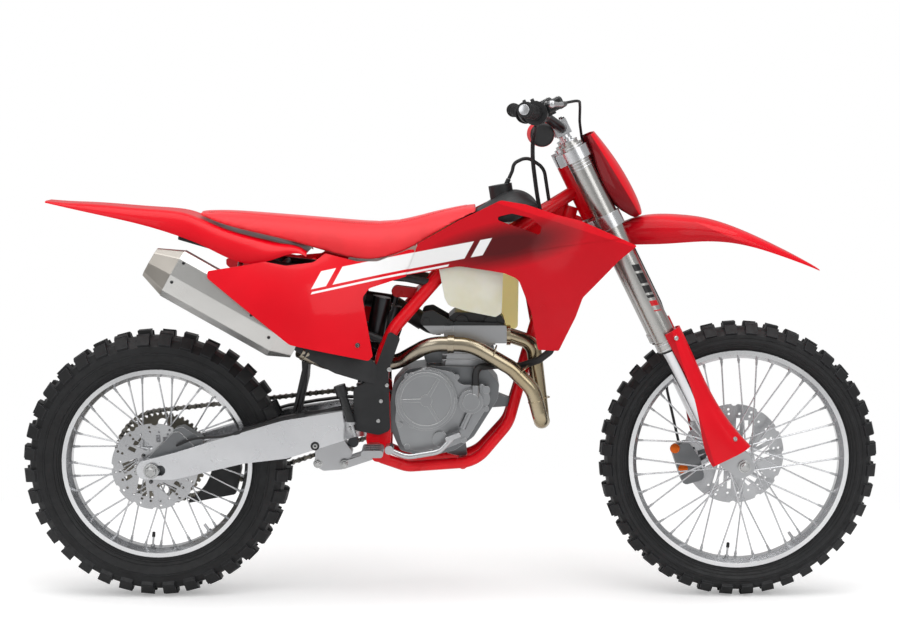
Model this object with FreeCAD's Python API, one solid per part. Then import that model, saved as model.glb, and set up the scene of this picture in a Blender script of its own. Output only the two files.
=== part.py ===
import FreeCAD, Part
import math
import os

from FreeCAD import Placement, Rotation, Vector

os.makedirs("parts", exist_ok=True)

# Off-road motorcycle, drawn in millimetres: X runs forward from the rear axle, Y to the rider's left
# and Z up from the ground. Everything is moved to the rider's seat point when it is written out.

# Driving dimensions of the whole machine
WHEELBASE = 1485.0
SEAT_X = 608.0
SEAT_HEIGHT = 960.0
RAKE = 26.4
AXLE_LEAD = 36.0
CLAMP_OFFSET = 22.0
LEG_SPACING = 98.0
RUN_FIT = 0.3
SEAT_GAP = 0.3

# Wheels
REAR_RADIUS = 343.5
REAR_RIM_RADIUS = 243.0
REAR_TYRE_WIDTH = 112.0
FRONT_RADIUS = 355.0
FRONT_RIM_RADIUS = 281.0
FRONT_TYRE_WIDTH = 88.0
KNOB_SHARE = 0.56
REAR_ROWS = 36
FRONT_ROWS = 40
BEAD_DEPTH = 5.0
RIM_WALL = 4.0
RIM_HEIGHT = 21.0
SPOKE_RADIUS = 2.0
SPOKE_COUNT = 36
REAR_AXLE_RADIUS = 12.5
FRONT_AXLE_RADIUS = 11.0

# Final drive
CHAIN_PITCH = 15.875
CHAIN_ROLLER = 5.08
CHAIN_PLATE = 7.0
CHAIN_HALF_WIDTH = 9.5
CHAIN_Y = 75.0
SPROCKET_TEETH = 48
PINION_TEETH = 14
SPROCKET_THICK = 6.0
PINION_X = 652.0
PINION_Z = 472.0

# Brakes
FRONT_DISC_RADIUS = 130.0
REAR_DISC_RADIUS = 110.0
DISC_THICK = 4.0
FRONT_DISC_Y = 62.0
REAR_DISC_Y = -65.0

# Frame tubes and swingarm
PIVOT_X = 577.0
PIVOT_Z = 458.0
BACKBONE_TUBE = 16.0
DOWN_TUBE = 18.0
CRADLE_TUBE = 14.0
HEAD_TUBE_RADIUS = 30.0
STEM_RADIUS = 14.0
PIVOT_PLATE_IN = 86.5
PIVOT_PLATE_OUT = 104.0
PIVOT_SHAFT = 10.0

# Fork
FORK_OUTER = 29.0
FORK_INNER = 24.0
FORK_SEAL_Z = 350.0
FORK_TOP_Z = 915.0
LOWER_CLAMP_Z = 686.0
LOWER_CLAMP_THICK = 36.0
UPPER_CLAMP_Z = 873.0
UPPER_CLAMP_THICK = 30.0
BAR_X = -1.0
BAR_Z = 960.0
BAR_RADIUS = 12.0

REAR_AXLE_Z = REAR_RADIUS + 1.5
FRONT_AXLE_Z = FRONT_RADIUS
SIN_RAKE = math.sin(math.radians(RAKE))
COS_RAKE = math.cos(math.radians(RAKE))

# The fork frame: its origin is on the legs' centre line, level with the front axle along the legs,
# its x points forward, square to the legs, and its z runs up along them.
FORK_ORIGIN = Vector(WHEELBASE - AXLE_LEAD * COS_RAKE, 0, FRONT_AXLE_Z - AXLE_LEAD * SIN_RAKE)
FORK_FRAME = Placement(FORK_ORIGIN, Rotation(Vector(0, 1, 0), -RAKE))
TO_RIDER = Vector(-SEAT_X, 0, -SEAT_HEIGHT)


def write(node, solids):
    """Write the solids of one node, moved from the drawing's origin to the rider's seat point."""
    pieces = []
    for item in solids:
        pieces.extend(item.Solids)
    shape = Part.makeCompound(pieces) if len(pieces) > 1 else pieces[0]
    shape = shape.copy()
    shape.translate(TO_RIDER)
    shape.exportStep("parts/" + node + ".step")


def fuse(solids):
    """Join solids that touch or overlap into one clean solid."""
    body = solids[0].multiFuse(solids[1:])
    return body.removeSplitter()


def on_fork(shape):
    """Carry a shape from the fork frame to the drawing's frame."""
    moved = shape.copy()
    moved.Placement = FORK_FRAME.multiply(moved.Placement)
    return moved


def fork_point(x, y, z):
    """A point of the fork frame, in the drawing's frame."""
    return FORK_FRAME.multVec(Vector(x, y, z))


def mirrored(shape):
    """The same shape on the other side of the machine's middle plane."""
    return shape.mirror(Vector(0, 0, 0), Vector(0, 1, 0))


def both(shape):
    """A right-hand and a left-hand copy."""
    return [shape, mirrored(shape)]


def rounded_path(points, radii, closed):
    """Straight runs through the points, joined by tangent arcs."""
    count = len(points)
    if not isinstance(radii, (list, tuple)):
        radii = [radii] * count
    starts, ends, middles = [], [], []
    for i, corner in enumerate(points):
        is_end = not closed and i in (0, count - 1)
        back = points[i - 1] - corner
        ahead = points[(i + 1) % count] - corner
        if is_end or radii[i] <= 0:
            starts.append(corner)
            ends.append(corner)
            middles.append(None)
            continue
        half = back.getAngle(ahead) / 2
        reach = min(radii[i] / math.tan(half), 0.48 * back.Length, 0.48 * ahead.Length)
        radius = reach * math.tan(half)
        bisector = (back / back.Length + ahead / ahead.Length).normalize()
        centre = corner + bisector * (radius / math.sin(half))
        starts.append(corner + back / back.Length * reach)
        ends.append(corner + ahead / ahead.Length * reach)
        middles.append(centre - bisector * radius)
    edges = []
    for i in range(count):
        if middles[i] is not None:
            edges.append(Part.Arc(starts[i], middles[i], ends[i]).toShape())
        if i == count - 1 and not closed:
            break
        following = starts[(i + 1) % count]
        if (following - ends[i]).Length > 1e-4:
            edges.append(Part.LineSegment(ends[i], following).toShape())
    return Part.Wire(edges)


def side_wire(points, radii, y):
    """A closed outline in side view, given as (x, z), at one distance from the middle plane."""
    return rounded_path([Vector(x, y, z) for x, z in points], radii, True)


def slab(points, radii, y_low, y_high):
    """A side-view outline made solid between two distances from the middle plane."""
    face = Part.Face(side_wire(points, radii, y_low))
    return face.extrude(Vector(0, y_high - y_low, 0))


def plan_slab(points, radii, z_low, z_high):
    """A plan-view outline, given as (x, y), made solid between two heights."""
    wire = rounded_path([Vector(x, y, z_low) for x, y in points], radii, True)
    return Part.Face(wire).extrude(Vector(0, 0, z_high - z_low))


def bar(start, end, radius):
    """A round bar between two points."""
    run = end - start
    return Part.makeCylinder(radius, run.Length, start, run)


def cross_bar(x, z, radius, y_low, y_high):
    """A round bar across the machine."""
    return Part.makeCylinder(radius, y_high - y_low, Vector(x, y_low, z), Vector(0, 1, 0))


def tube(points, radius, bends):
    """A round bar or hose that follows straight runs joined by tangent arcs."""
    path = rounded_path(points, bends, False)
    run = points[1] - points[0]
    ring = Part.Wire(Part.makeCircle(radius, points[0], run))
    return path.makePipeShell([ring], True, False)


def turned(profile, x, z):
    """A ring or disc turned about a cross-wise axis at (x, z), from a closed (radius, y) outline."""
    points = [Vector(x, y, z + r) for r, y in profile]
    face = Part.Face(Part.makePolygon(points + points[:1]))
    return face.revolve(Vector(x, 0, z), Vector(0, 1, 0), 360)


def around(shape, count, x, z, start=0.0):
    """Copies of a shape, spread evenly about a cross-wise axis at (x, z)."""
    copies = []
    for i in range(count):
        copy = shape.copy()
        copy.rotate(Vector(x, 0, z), Vector(0, 1, 0), start + 360.0 * i / count)
        copies.append(copy)
    return copies


def skin(columns, rows, depth, thick):
    """A curved sheet whose distance from the middle plane is set on a grid of columns and rows.

    The sheet is on the right-hand side, and grows towards the middle plane by its thickness."""
    grid = [[Vector(x, -y, z) for z, y in zip(rows, line)] for x, line in zip(columns, depth)]
    surface = Part.BSplineSurface()
    surface.interpolate(grid)
    return surface.toShape().extrude(Vector(0, thick, 0))


def open_curve(points):
    """A smooth edge through the points."""
    curve = Part.BSplineCurve()
    curve.interpolate(points)
    return curve.toShape()


def shell_section(outer, inner):
    """A thin closed cross-section between an outer and an inner curve with the same ends' order."""
    edges = [
        open_curve(outer),
        Part.LineSegment(outer[-1], inner[-1]).toShape(),
        open_curve(inner[::-1]),
        Part.LineSegment(inner[0], outer[0]).toShape(),
    ]
    return Part.Wire(edges)


def largest(shape):
    """The largest solid of a cut shape."""
    return max(shape.Solids, key=lambda item: item.Volume)


def closed(points):
    """A closed cross-section with a straight side from the last point to the first."""
    return Part.Wire([open_curve(points), Part.LineSegment(points[-1], points[0]).toShape()])


def loft(wires, ruled=False):
    """A solid through closed cross-sections."""
    return Part.makeLoft(wires, True, ruled)


# Wheels

def ring_point(x, z, point, angle):
    """A cross-section point (radius, y) carried round a cross-wise axis by an angle from the top."""
    radius, y = point
    return Vector(x + radius * math.sin(angle), y, z + radius * math.cos(angle))


def facet(corners):
    """A flat face with the given corners."""
    return Part.Face(Part.makePolygon(corners + corners[:1]))


def flip(point):
    """A cross-section point on the other side of the wheel's middle plane."""
    return (point[0], -point[1])


def knobbly_tyre(x, z, wall, tread, tips, rows):
    """An off-road tyre: a flat-sided carcass with rows of tall blocks, each row of one pitch.

    The half cross-section is given as (radius, y): the wall at its bead, rim edge and widest point, the
    tread at its shoulder, between the blocks and at the crown, and the tips of the side block, the middle
    block and the crown block. Rows with a crown block and rows with two middle blocks take turns."""
    bead, edge, widest = wall
    across = [flip(p) for p in tread] + tread[::-1]
    side_low, side_high, middle_low, middle_high, crown = tips
    tops = [
        (flip(side_low), flip(side_high)), (flip(middle_low), flip(middle_high)), (flip(crown), crown),
        (middle_high, middle_low), (side_high, side_low),
    ]
    pitch = 2 * math.pi / rows
    around_rim = 1 / math.cos(pitch / 2)
    bead, edge = (bead[0] * around_rim, bead[1]), (edge[0] * around_rim, edge[1])
    faces = []

    def patch(a, b, start, end):
        corners = [(a, start), (b, start), (b, end), (a, end)]
        faces.append(facet([ring_point(x, z, point, angle) for point, angle in corners]))

    def wedge(corners):
        faces.append(facet([ring_point(x, z, point, angle) for point, angle in corners]))

    for row in range(rows):
        start = (row + 0.5 - KNOB_SHARE / 2) * pitch
        end = start + KNOB_SHARE * pitch
        following = start + pitch
        raised = (0, 2, 4) if row % 2 else (0, 1, 3, 4)
        for strip in range(5):
            low, high = across[strip], across[strip + 1]
            patch(low, high, end, following)
            if strip not in raised:
                patch(low, high, start, end)
                continue
            top_low, top_high = tops[strip]
            patch(top_low, top_high, start, end)
            patch(low, top_low, start, end)
            patch(high, top_high, start, end)
            wedge([(low, start), (high, start), (top_high, start), (top_low, start)])
            wedge([(low, end), (high, end), (top_high, end), (top_low, end)])
        for turn in (tuple, flip):
            foot, lip, belly, shoulder = turn(bead), turn(edge), turn(widest), turn(tread[0])
            patch(shoulder, belly, start, end)
            patch(shoulder, belly, end, following)
            wedge([(lip, start), (belly, start), (belly, end)])
            wedge([(lip, start), (belly, end), (lip, following)])
            wedge([(lip, following), (belly, end), (belly, following)])
            patch(lip, foot, start, following)
        patch(bead, flip(bead), start, following)
    shell = Part.makeShell(faces)
    shell.sewShape()
    return Part.makeSolid(shell)


def rim_solid(x, z, rim_radius, half_bead):
    """A rim with two flanges, a seat for the tyre and a narrow well."""
    bead = rim_radius - BEAD_DEPTH
    flange = half_bead + RIM_WALL
    half = [
        (bead, half_bead),
        (rim_radius, half_bead),
        (rim_radius, flange),
        (rim_radius - 11, flange),
        (rim_radius - RIM_HEIGHT, 0.45 * half_bead),
    ]
    profile = half + [(r, -y) for r, y in half[::-1]]
    return turned(profile, x, z)


def spoke_set(x, z, hub_radius, hub_in, hub_out, rim_inner, cross):
    """Crossed spokes: every second one on each flange, leaning each way in turn."""
    spokes = []
    for i in range(SPOKE_COUNT):
        side = 1 if i % 2 else -1
        lean = 1 if (i // 2) % 2 else -1
        at_hub = math.radians(360.0 * i / SPOKE_COUNT + lean * cross)
        at_rim = math.radians(360.0 * i / SPOKE_COUNT)
        hub_y = side * (hub_in if lean > 0 else hub_out)
        inner = Vector(x + hub_radius * math.cos(at_hub), hub_y, z + hub_radius * math.sin(at_hub))
        outer = Vector(x + rim_inner * math.cos(at_rim), side * 6.0, z + rim_inner * math.sin(at_rim))
        spokes.append(bar(inner, outer, SPOKE_RADIUS))
    return spokes


FRONT_HALF_BEAD = 23.0
REAR_HALF_BEAD = 30.0


def front_wheel():
    """Tyre, rim, spokes, hub and disc that turn on the front axle."""
    x, z = WHEELBASE, FRONT_AXLE_Z
    half = FRONT_TYRE_WIDTH / 2
    tyre = knobbly_tyre(
        x, z,
        [(FRONT_RIM_RADIUS - BEAD_DEPTH, FRONT_HALF_BEAD), (FRONT_RIM_RADIUS + 0.6, FRONT_HALF_BEAD),
         (FRONT_RIM_RADIUS + 26, half - 4)],
        [(FRONT_RADIUS - 32, half - 6), (FRONT_RADIUS - 20, 28), (FRONT_RADIUS - 14, 13)],
        [(FRONT_RADIUS - 27, half), (FRONT_RADIUS - 6, 30), (FRONT_RADIUS - 4.5, 26),
         (FRONT_RADIUS - 1, 13.5), (FRONT_RADIUS, 12)],
        FRONT_ROWS)
    rim = rim_solid(x, z, FRONT_RIM_RADIUS, FRONT_HALF_BEAD)
    bore = FRONT_AXLE_RADIUS + RUN_FIT
    disc_in = FRONT_DISC_Y - DISC_THICK / 2
    hub = turned(
        [
            (bore, -70), (26, -70), (30, -62), (30, -40), (40, -36), (40, -28), (21, -24),
            (21, 24), (40, 28), (40, 36), (30, 40), (34, 52), (46, disc_in - 4), (46, disc_in),
            (28, disc_in), (28, 70), (bore, 70),
        ],
        x, z,
    )
    rim_inner = FRONT_RIM_RADIUS - RIM_HEIGHT - 2 * SEAT_GAP
    spokes = spoke_set(x, z, 38.0, 26.5, 37.5, rim_inner, 46.0)
    disc = brake_disc(x, z, FRONT_DISC_RADIUS, FRONT_DISC_Y, 28.0 + SEAT_GAP, 96.0)
    write("front_tyre", [tyre])
    write("front_rim", [rim])
    write("front_hub", [fuse([hub] + spokes)])
    write("front_disc", [disc])


def brake_disc(x, z, radius, y, bore, ring_inner):
    """A disc with a waved edge, a drilled ring and open arms to its carrier."""
    low = y - DISC_THICK / 2
    disc = cross_bar(x, z, radius, low, low + DISC_THICK)
    tools = [cross_bar(x, z, bore, low - 1, low + DISC_THICK + 1)]
    notch = cross_bar(x, z + radius + 4, 9, low - 1, low + DISC_THICK + 1)
    tools += around(notch, 12, x, z)
    window_r = (bore + 22 + ring_inner) / 2
    window = cross_bar(x, z + window_r, (ring_inner - bore - 22) / 2, low - 1, low + DISC_THICK + 1)
    tools += around(window, 6, x, z, 15.0)
    hole = cross_bar(x, z + (radius + ring_inner) / 2 - 2, 4, low - 1, low + DISC_THICK + 1)
    tools += around(hole, 24, x, z, 7.5)
    return disc.cut(tools)


def pitch_radius(teeth):
    """Radius of the circle on which the chain's rollers lie round a sprocket."""
    return CHAIN_PITCH / (2 * math.sin(math.pi / teeth))


def sprocket_solid(x, z, teeth, thick, y, bore):
    """A sprocket whose tooth tips stop just inside the chain's rollers."""
    tip = pitch_radius(teeth) - CHAIN_ROLLER - RUN_FIT
    root = tip - 6.5
    points = []
    for i in range(teeth):
        for share, r in ((0.0, root), (0.2, root), (0.42, tip), (0.78, tip)):
            angle = 2 * math.pi * (i + share) / teeth
            points.append(Vector(x + r * math.sin(angle), y - thick / 2, z + r * math.cos(angle)))
    face = Part.Face(Part.makePolygon(points + points[:1]))
    body = face.extrude(Vector(0, thick, 0))
    return body.cut(cross_bar(x, z, bore, y - thick, y + thick))


def rear_wheel():
    """Tyre, rim, spokes, hub, disc and sprocket that turn on the rear axle."""
    x, z = 0.0, REAR_AXLE_Z
    half = REAR_TYRE_WIDTH / 2
    tyre = knobbly_tyre(
        x, z,
        [(REAR_RIM_RADIUS - BEAD_DEPTH, REAR_HALF_BEAD), (REAR_RIM_RADIUS + 0.6, REAR_HALF_BEAD),
         (REAR_RIM_RADIUS + 42, half - 3)],
        [(REAR_RADIUS - 40, half - 6), (REAR_RADIUS - 22, 36), (REAR_RADIUS - 16, 17)],
        [(REAR_RADIUS - 33, half), (REAR_RADIUS - 7, 39), (REAR_RADIUS - 5, 34),
         (REAR_RADIUS - 1, 18), (REAR_RADIUS, 16)],
        REAR_ROWS)
    rim = rim_solid(x, z, REAR_RIM_RADIUS, REAR_HALF_BEAD)
    bore = REAR_AXLE_RADIUS + RUN_FIT
    sprocket_in = CHAIN_Y - SPROCKET_THICK / 2
    disc_face = REAR_DISC_Y + DISC_THICK / 2
    hub = turned(
        [
            (bore, -80), (24, -80), (30, disc_face - DISC_THICK), (30, disc_face), (44, disc_face),
            (44, disc_face + 5), (32, -50), (32, -38), (44, -34), (44, -26), (25, -22),
            (25, 22), (44, 26), (44, 34), (32, 40), (34, 56), (72, sprocket_in - 8),
            (72, sprocket_in), (40, sprocket_in), (40, sprocket_in + SPROCKET_THICK),
            (24, sprocket_in + SPROCKET_THICK + 2), (24, 84), (bore, 84),
        ],
        x, z,
    )
    rim_inner = REAR_RIM_RADIUS - RIM_HEIGHT - 2 * SEAT_GAP
    spokes = spoke_set(x, z, 42.0, 24.5, 35.5, rim_inner, 46.0)
    disc = brake_disc(x, z, REAR_DISC_RADIUS, REAR_DISC_Y, 30.0 + SEAT_GAP, 84.0)
    sprocket = sprocket_solid(x, z, SPROCKET_TEETH, SPROCKET_THICK, CHAIN_Y, 40.0 + SEAT_GAP)
    low = CHAIN_Y - SPROCKET_THICK
    window = cross_bar(x, z + 88, 13, low, low + 2 * SPROCKET_THICK)
    sprocket = sprocket.cut(around(window, 8, x, z))
    write("rear_tyre", [tyre])
    write("rear_rim", [rim])
    write("rear_hub", [fuse([hub] + spokes)])
    write("rear_disc", [disc])
    write("rear_sprocket", [sprocket])


# Chain

SLIDER_X = 500.0
SLIDER_RISE = 57.2


def chain_outline(offset):
    """The chain's closed side-view line, moved outwards by an offset."""
    big = pitch_radius(SPROCKET_TEETH) + offset
    small = pitch_radius(PINION_TEETH) + offset
    rear = Vector(0, 0, REAR_AXLE_Z)
    pinion = Vector(PINION_X, 0, PINION_Z)
    run = pinion - rear
    along = math.atan2(run.z, run.x)
    ease = math.asin((big - small) / run.Length)

    def tangent(centre, radius, angle):
        return Vector(centre.x + radius * math.cos(angle), 0, centre.z + radius * math.sin(angle))

    low_angle = along - math.pi / 2 + ease
    low_rear = tangent(rear, big, low_angle)
    low_front = tangent(pinion, small, low_angle)
    crest_z = REAR_AXLE_Z + pitch_radius(SPROCKET_TEETH) + SLIDER_RISE + offset
    crest = Vector(SLIDER_X, 0, crest_z)

    def touch(centre, radius, sign):
        gap = crest - centre
        turn = math.acos(radius / gap.Length)
        return tangent(centre, radius, math.atan2(gap.z, gap.x) + sign * turn)

    top_rear = touch(rear, big, 1)
    top_front = touch(pinion, small, -1)
    edges = [
        Part.LineSegment(low_rear, low_front).toShape(),
        Part.Arc(low_front, Vector(pinion.x + small, 0, pinion.z), top_front).toShape(),
        Part.LineSegment(top_front, crest).toShape(),
        Part.LineSegment(crest, top_rear).toShape(),
        Part.Arc(top_rear, Vector(rear.x - big, 0, rear.z), low_rear).toShape(),
    ]
    return Part.Wire(edges)


def chain_band(half_height, y_low, y_high):
    """The space between two offset chain lines."""
    outer = Part.Face(chain_outline(half_height)).extrude(Vector(0, y_high - y_low, 0))
    inner = Part.Face(chain_outline(-half_height)).extrude(Vector(0, y_high - y_low, 0))
    band = outer.cut(inner)
    band.translate(Vector(0, y_low, 0))
    return band


def chain():
    """One fixed loop, as high as its rollers, and the engine's sprocket inside it."""
    body = chain_band(CHAIN_ROLLER, CHAIN_Y - CHAIN_HALF_WIDTH, CHAIN_Y + CHAIN_HALF_WIDTH)
    pinion = sprocket_solid(PINION_X, PINION_Z, PINION_TEETH, SPROCKET_THICK, CHAIN_Y, 12.0)
    write("chain", [body, pinion])


# Frame

BACKBONE_Y = [10.0, 45.0, 72.0, 92.0, 94.0, 94.0]


def backbone_points(side):
    """Centre line of one main tube, from the steering head back and down to the swingarm pivot."""
    head = fork_point(-CLAMP_OFFSET, 0, 800)
    spread = [side * y for y in BACKBONE_Y]
    return [
        Vector(head.x - 16, spread[0], head.z - 8),
        Vector(905, spread[1], 940),
        Vector(745, spread[2], 858),
        Vector(606, spread[3], 700),
        Vector(576, spread[4], 630),
        Vector(572, spread[5], PIVOT_Z + 70),
    ]


def backbone_tubes(radius):
    """Both main tubes at one radius."""
    return [tube(backbone_points(side), radius, [0, 150, 110, 120, 80, 0]) for side in (-1, 1)]


def cradle_points(side):
    """Centre line of one lower rail, from the down tube's foot to the pivot plate."""
    return [
        Vector(936, side * 14, 590),
        Vector(896, side * 40, 452),
        Vector(812, side * 58, 356),
        Vector(640, side * 70, 346),
        Vector(PIVOT_X - 2, side * 88, 372),
    ]


def pivot_plate(side):
    """The forging that holds the swingarm's pivot on one side."""
    outline = [
        (PIVOT_X - 40, PIVOT_Z - 40), (PIVOT_X - 22, 366), (PIVOT_X + 20, 358),
        (PIVOT_X + 22, PIVOT_Z - 20), (PIVOT_X + 20, PIVOT_Z + 90), (PIVOT_X - 6, PIVOT_Z + 90),
        (PIVOT_X - 34, PIVOT_Z + 30),
    ]
    low, high = sorted((side * PIVOT_PLATE_IN, side * PIVOT_PLATE_OUT))
    return slab(outline, [14, 10, 10, 20, 12, 12, 20], low, high)


DOWN_TOP = (-CLAMP_OFFSET - 40, 0, LOWER_CLAMP_Z + 84)
DOWN_FOOT = Vector(930, 0, 572)


def down_tube(radius):
    """The single tube from the steering head down to the two lower rails."""
    return bar(fork_point(*DOWN_TOP), DOWN_FOOT, radius)


def frame():
    """Steering head, main tubes, down tube, cradle and pivot plates, welded together."""
    head_low = LOWER_CLAMP_Z + LOWER_CLAMP_THICK + 2
    head_high = UPPER_CLAMP_Z - 2
    head = bar(
        fork_point(-CLAMP_OFFSET, 0, head_low), fork_point(-CLAMP_OFFSET, 0, head_high), HEAD_TUBE_RADIUS
    )
    down_top = fork_point(*DOWN_TOP)
    down = down_tube(DOWN_TUBE)
    gusset = slab(
        [(down_top.x - 4, down_top.z - 20), (1044, 1022), (900, 945), (895, 915), (1000, 850)],
        [4, 4, 4, 4, 20], -8, 8,
    )
    pieces = [head, down, gusset]
    pieces += backbone_tubes(BACKBONE_TUBE)
    pieces += [tube(cradle_points(side), CRADLE_TUBE, [0, 90, 90, 60, 0]) for side in (-1, 1)]
    pieces += [pivot_plate(side) for side in (-1, 1)]
    pieces.append(cross_bar(780, 350, 12, -64, 64))
    pieces.append(cross_bar(PIVOT_X + 2, 374, 13, -96, 96))
    pieces.append(cross_bar(672, 780, 14, -84, 84))
    pieces.append(cross_bar(911, 502, 9, -34, 34))
    shock_ear = [(676, 768), (676, 792), (608, 801), (597, 788), (606, 772)]
    for low, high in ((-17, -11.3), (11.3, 17)):
        pieces.append(slab(shock_ear, [4, 4, 12, 10, 12], low, high))
    body = fuse(pieces)
    bore = bar(
        fork_point(-CLAMP_OFFSET, 0, head_low - 5), fork_point(-CLAMP_OFFSET, 0, head_high + 5),
        STEM_RADIUS + RUN_FIT,
    )
    shaft_hole = cross_bar(PIVOT_X, PIVOT_Z, PIVOT_SHAFT, -140, 140)
    return body.cut([bore, shaft_hole])


# Swingarm

def swingarm_solid():
    """Two tapered arms, a cross beam behind the pivot, and pivot bosses between the frame's plates."""
    outline = [
        (PIVOT_X + 16, PIVOT_Z + 10), (PIVOT_X - 20, PIVOT_Z + 32), (476, 493), (325, 470), (224, 441),
        (58, 390), (-38, REAR_AXLE_Z + 20), (-38, REAR_AXLE_Z - 22), (52, REAR_AXLE_Z - 24), (231, 362),
        (339, 374), (505, 425), (PIVOT_X - 10, PIVOT_Z - 32), (PIVOT_X + 16, PIVOT_Z - 12),
    ]
    radii = [10, 20, 60, 120, 120, 60, 22, 22, 40, 60, 60, 40, 20, 10]
    plan = [
        (-60, -120), (60, -120), (330, -112), (480, -102), (530, -80), (PIVOT_X + 40, -80),
        (PIVOT_X + 40, -46), (520, -46), (430, -66), (90, -92), (-60, -92),
    ]
    side = slab(outline, radii, -130, -40)
    arm = side.common(plan_slab(plan, [0, 60, 60, 20, 10, 0, 0, 20, 30, 30, 0], 280, 540))
    beam = slab([(392, 414), (470, 424), (470, 474), (392, 466)], 12, -80, 80)
    slot = slab(
        [(-14, REAR_AXLE_Z - 13), (34, REAR_AXLE_Z - 13), (34, REAR_AXLE_Z + 13), (-14, REAR_AXLE_Z + 13)],
        12.5, -130, -80,
    )
    recess = slab(
        [(90, REAR_AXLE_Z + 4), (230, 386), (340, 398), (470, 440), (462, 462), (330, 446), (228, 420)],
        12, -130, -116,
    )
    hole = cross_bar(PIVOT_X, PIVOT_Z, PIVOT_SHAFT, -140, 140)
    arm = arm.cut([slot, recess])
    body = fuse([arm, mirrored(arm), beam])
    return body.cut(hole)


def rear_axle_solids():
    """Axle, its two adjuster blocks in the arms' slots, and its nut."""
    z = REAR_AXLE_Z
    shaft = cross_bar(0, z, REAR_AXLE_RADIUS, -124, 124)
    pieces = [shaft]
    for side in (-1, 1):
        low, high = sorted((side * 92, side * 121))
        block = slab(
            [(-14, z - 12.7), (20, z - 12.7), (20, z + 12.7), (-14, z + 12.7)], 12.2, low, high
        )
        pieces.append(block)
        low, high = sorted((side * 121, side * 127))
        pieces.append(cross_bar(0, z, 19, low, high))
    pieces.append(cross_bar(0, z, 18, -91.7, -80 - RUN_FIT))
    pieces.append(cross_bar(0, z, 18, 84 + RUN_FIT, 91.7))
    return [fuse(pieces)]


# Fork, clamps and bars, all in the fork frame

def clamp_plate(z, thick, leg_boss, stem_boss):
    """One triple clamp: two leg bosses and a stem boss joined by a bridge."""
    low, high = z, z + thick
    bridge = plan_slab(
        [(14, -LEG_SPACING), (14, LEG_SPACING), (-16, LEG_SPACING), (-CLAMP_OFFSET - 20, 26),
         (-CLAMP_OFFSET - 20, -26), (-16, -LEG_SPACING)],
        [0, 0, 0, 20, 20, 0], low, high,
    )
    pieces = [bridge]
    for side in (-1, 1):
        pieces.append(Part.makeCylinder(leg_boss, thick, Vector(0, side * LEG_SPACING, low)))
        lug = Part.makeBox(26, 22, thick, Vector(-leg_boss - 12, side * (LEG_SPACING + 2) - 11, low))
        pieces.append(lug)
    pieces.append(Part.makeCylinder(stem_boss, thick, Vector(-CLAMP_OFFSET, 0, low)))
    return fuse(pieces)


def triple_clamps():
    """Both clamps on one stem, with the posts that hold the bar."""
    lower = clamp_plate(LOWER_CLAMP_Z, LOWER_CLAMP_THICK, 37, 34)
    upper = clamp_plate(UPPER_CLAMP_Z, UPPER_CLAMP_THICK, 36, 30)
    stem_top = UPPER_CLAMP_Z + UPPER_CLAMP_THICK + 10
    stem = Part.makeCylinder(STEM_RADIUS, stem_top - LOWER_CLAMP_Z, Vector(-CLAMP_OFFSET, 0, LOWER_CLAMP_Z))
    nut = Part.makeCylinder(18, 10, Vector(-CLAMP_OFFSET, 0, stem_top - 10))
    pieces = [lower, upper, stem, nut]
    for side in (-1, 1):
        post_low = UPPER_CLAMP_Z + UPPER_CLAMP_THICK - 2
        post = Part.makeCylinder(13, BAR_Z - post_low, Vector(BAR_X, side * 48, post_low))
        block = Part.makeBox(40, 26, 38, Vector(BAR_X - 20, side * 48 - 13, BAR_Z - 19))
        pieces += [post, block]
    body = fuse(pieces)
    cuts = [Part.makeCylinder(BAR_RADIUS + SEAT_GAP, 400, Vector(BAR_X, -200, BAR_Z), Vector(0, 1, 0))]
    for side in (-1, 1):
        leg = Part.makeCylinder(FORK_OUTER + 0.05, 500, Vector(0, side * LEG_SPACING, 600))
        cuts.append(leg)
    return [on_fork(body.cut(cuts))]


def fork_outer_solids():
    """Outer tubes with their seal collars and top caps."""
    legs = []
    for side in (-1, 1):
        base = Vector(0, side * LEG_SPACING, 0)
        main = Part.makeCylinder(FORK_OUTER, FORK_TOP_Z - FORK_SEAL_Z, base + Vector(0, 0, FORK_SEAL_Z))
        collar = Part.makeCylinder(FORK_OUTER + 2.5, 24, base + Vector(0, 0, FORK_SEAL_Z))
        cap = Part.makeCylinder(20, 8, base + Vector(0, 0, FORK_TOP_Z))
        socket = Part.makeCylinder(FORK_INNER, 20, base + Vector(0, 0, FORK_SEAL_Z - 10))
        legs.append(on_fork(fuse([main, collar, cap]).cut(socket)))
    return legs


FOOT_TOP = 118.0
FOOT_IN = 78.0
FOOT_OUT = 118.0


def fork_inner_solids():
    """Bright inner tubes from the feet up into the outer tubes."""
    legs = []
    for side in (-1, 1):
        base = Vector(0, side * LEG_SPACING, FOOT_TOP)
        tube_height = FORK_SEAL_Z + 10 - FOOT_TOP
        legs.append(on_fork(Part.makeCylinder(FORK_INNER, tube_height, base)))
    return legs


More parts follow.
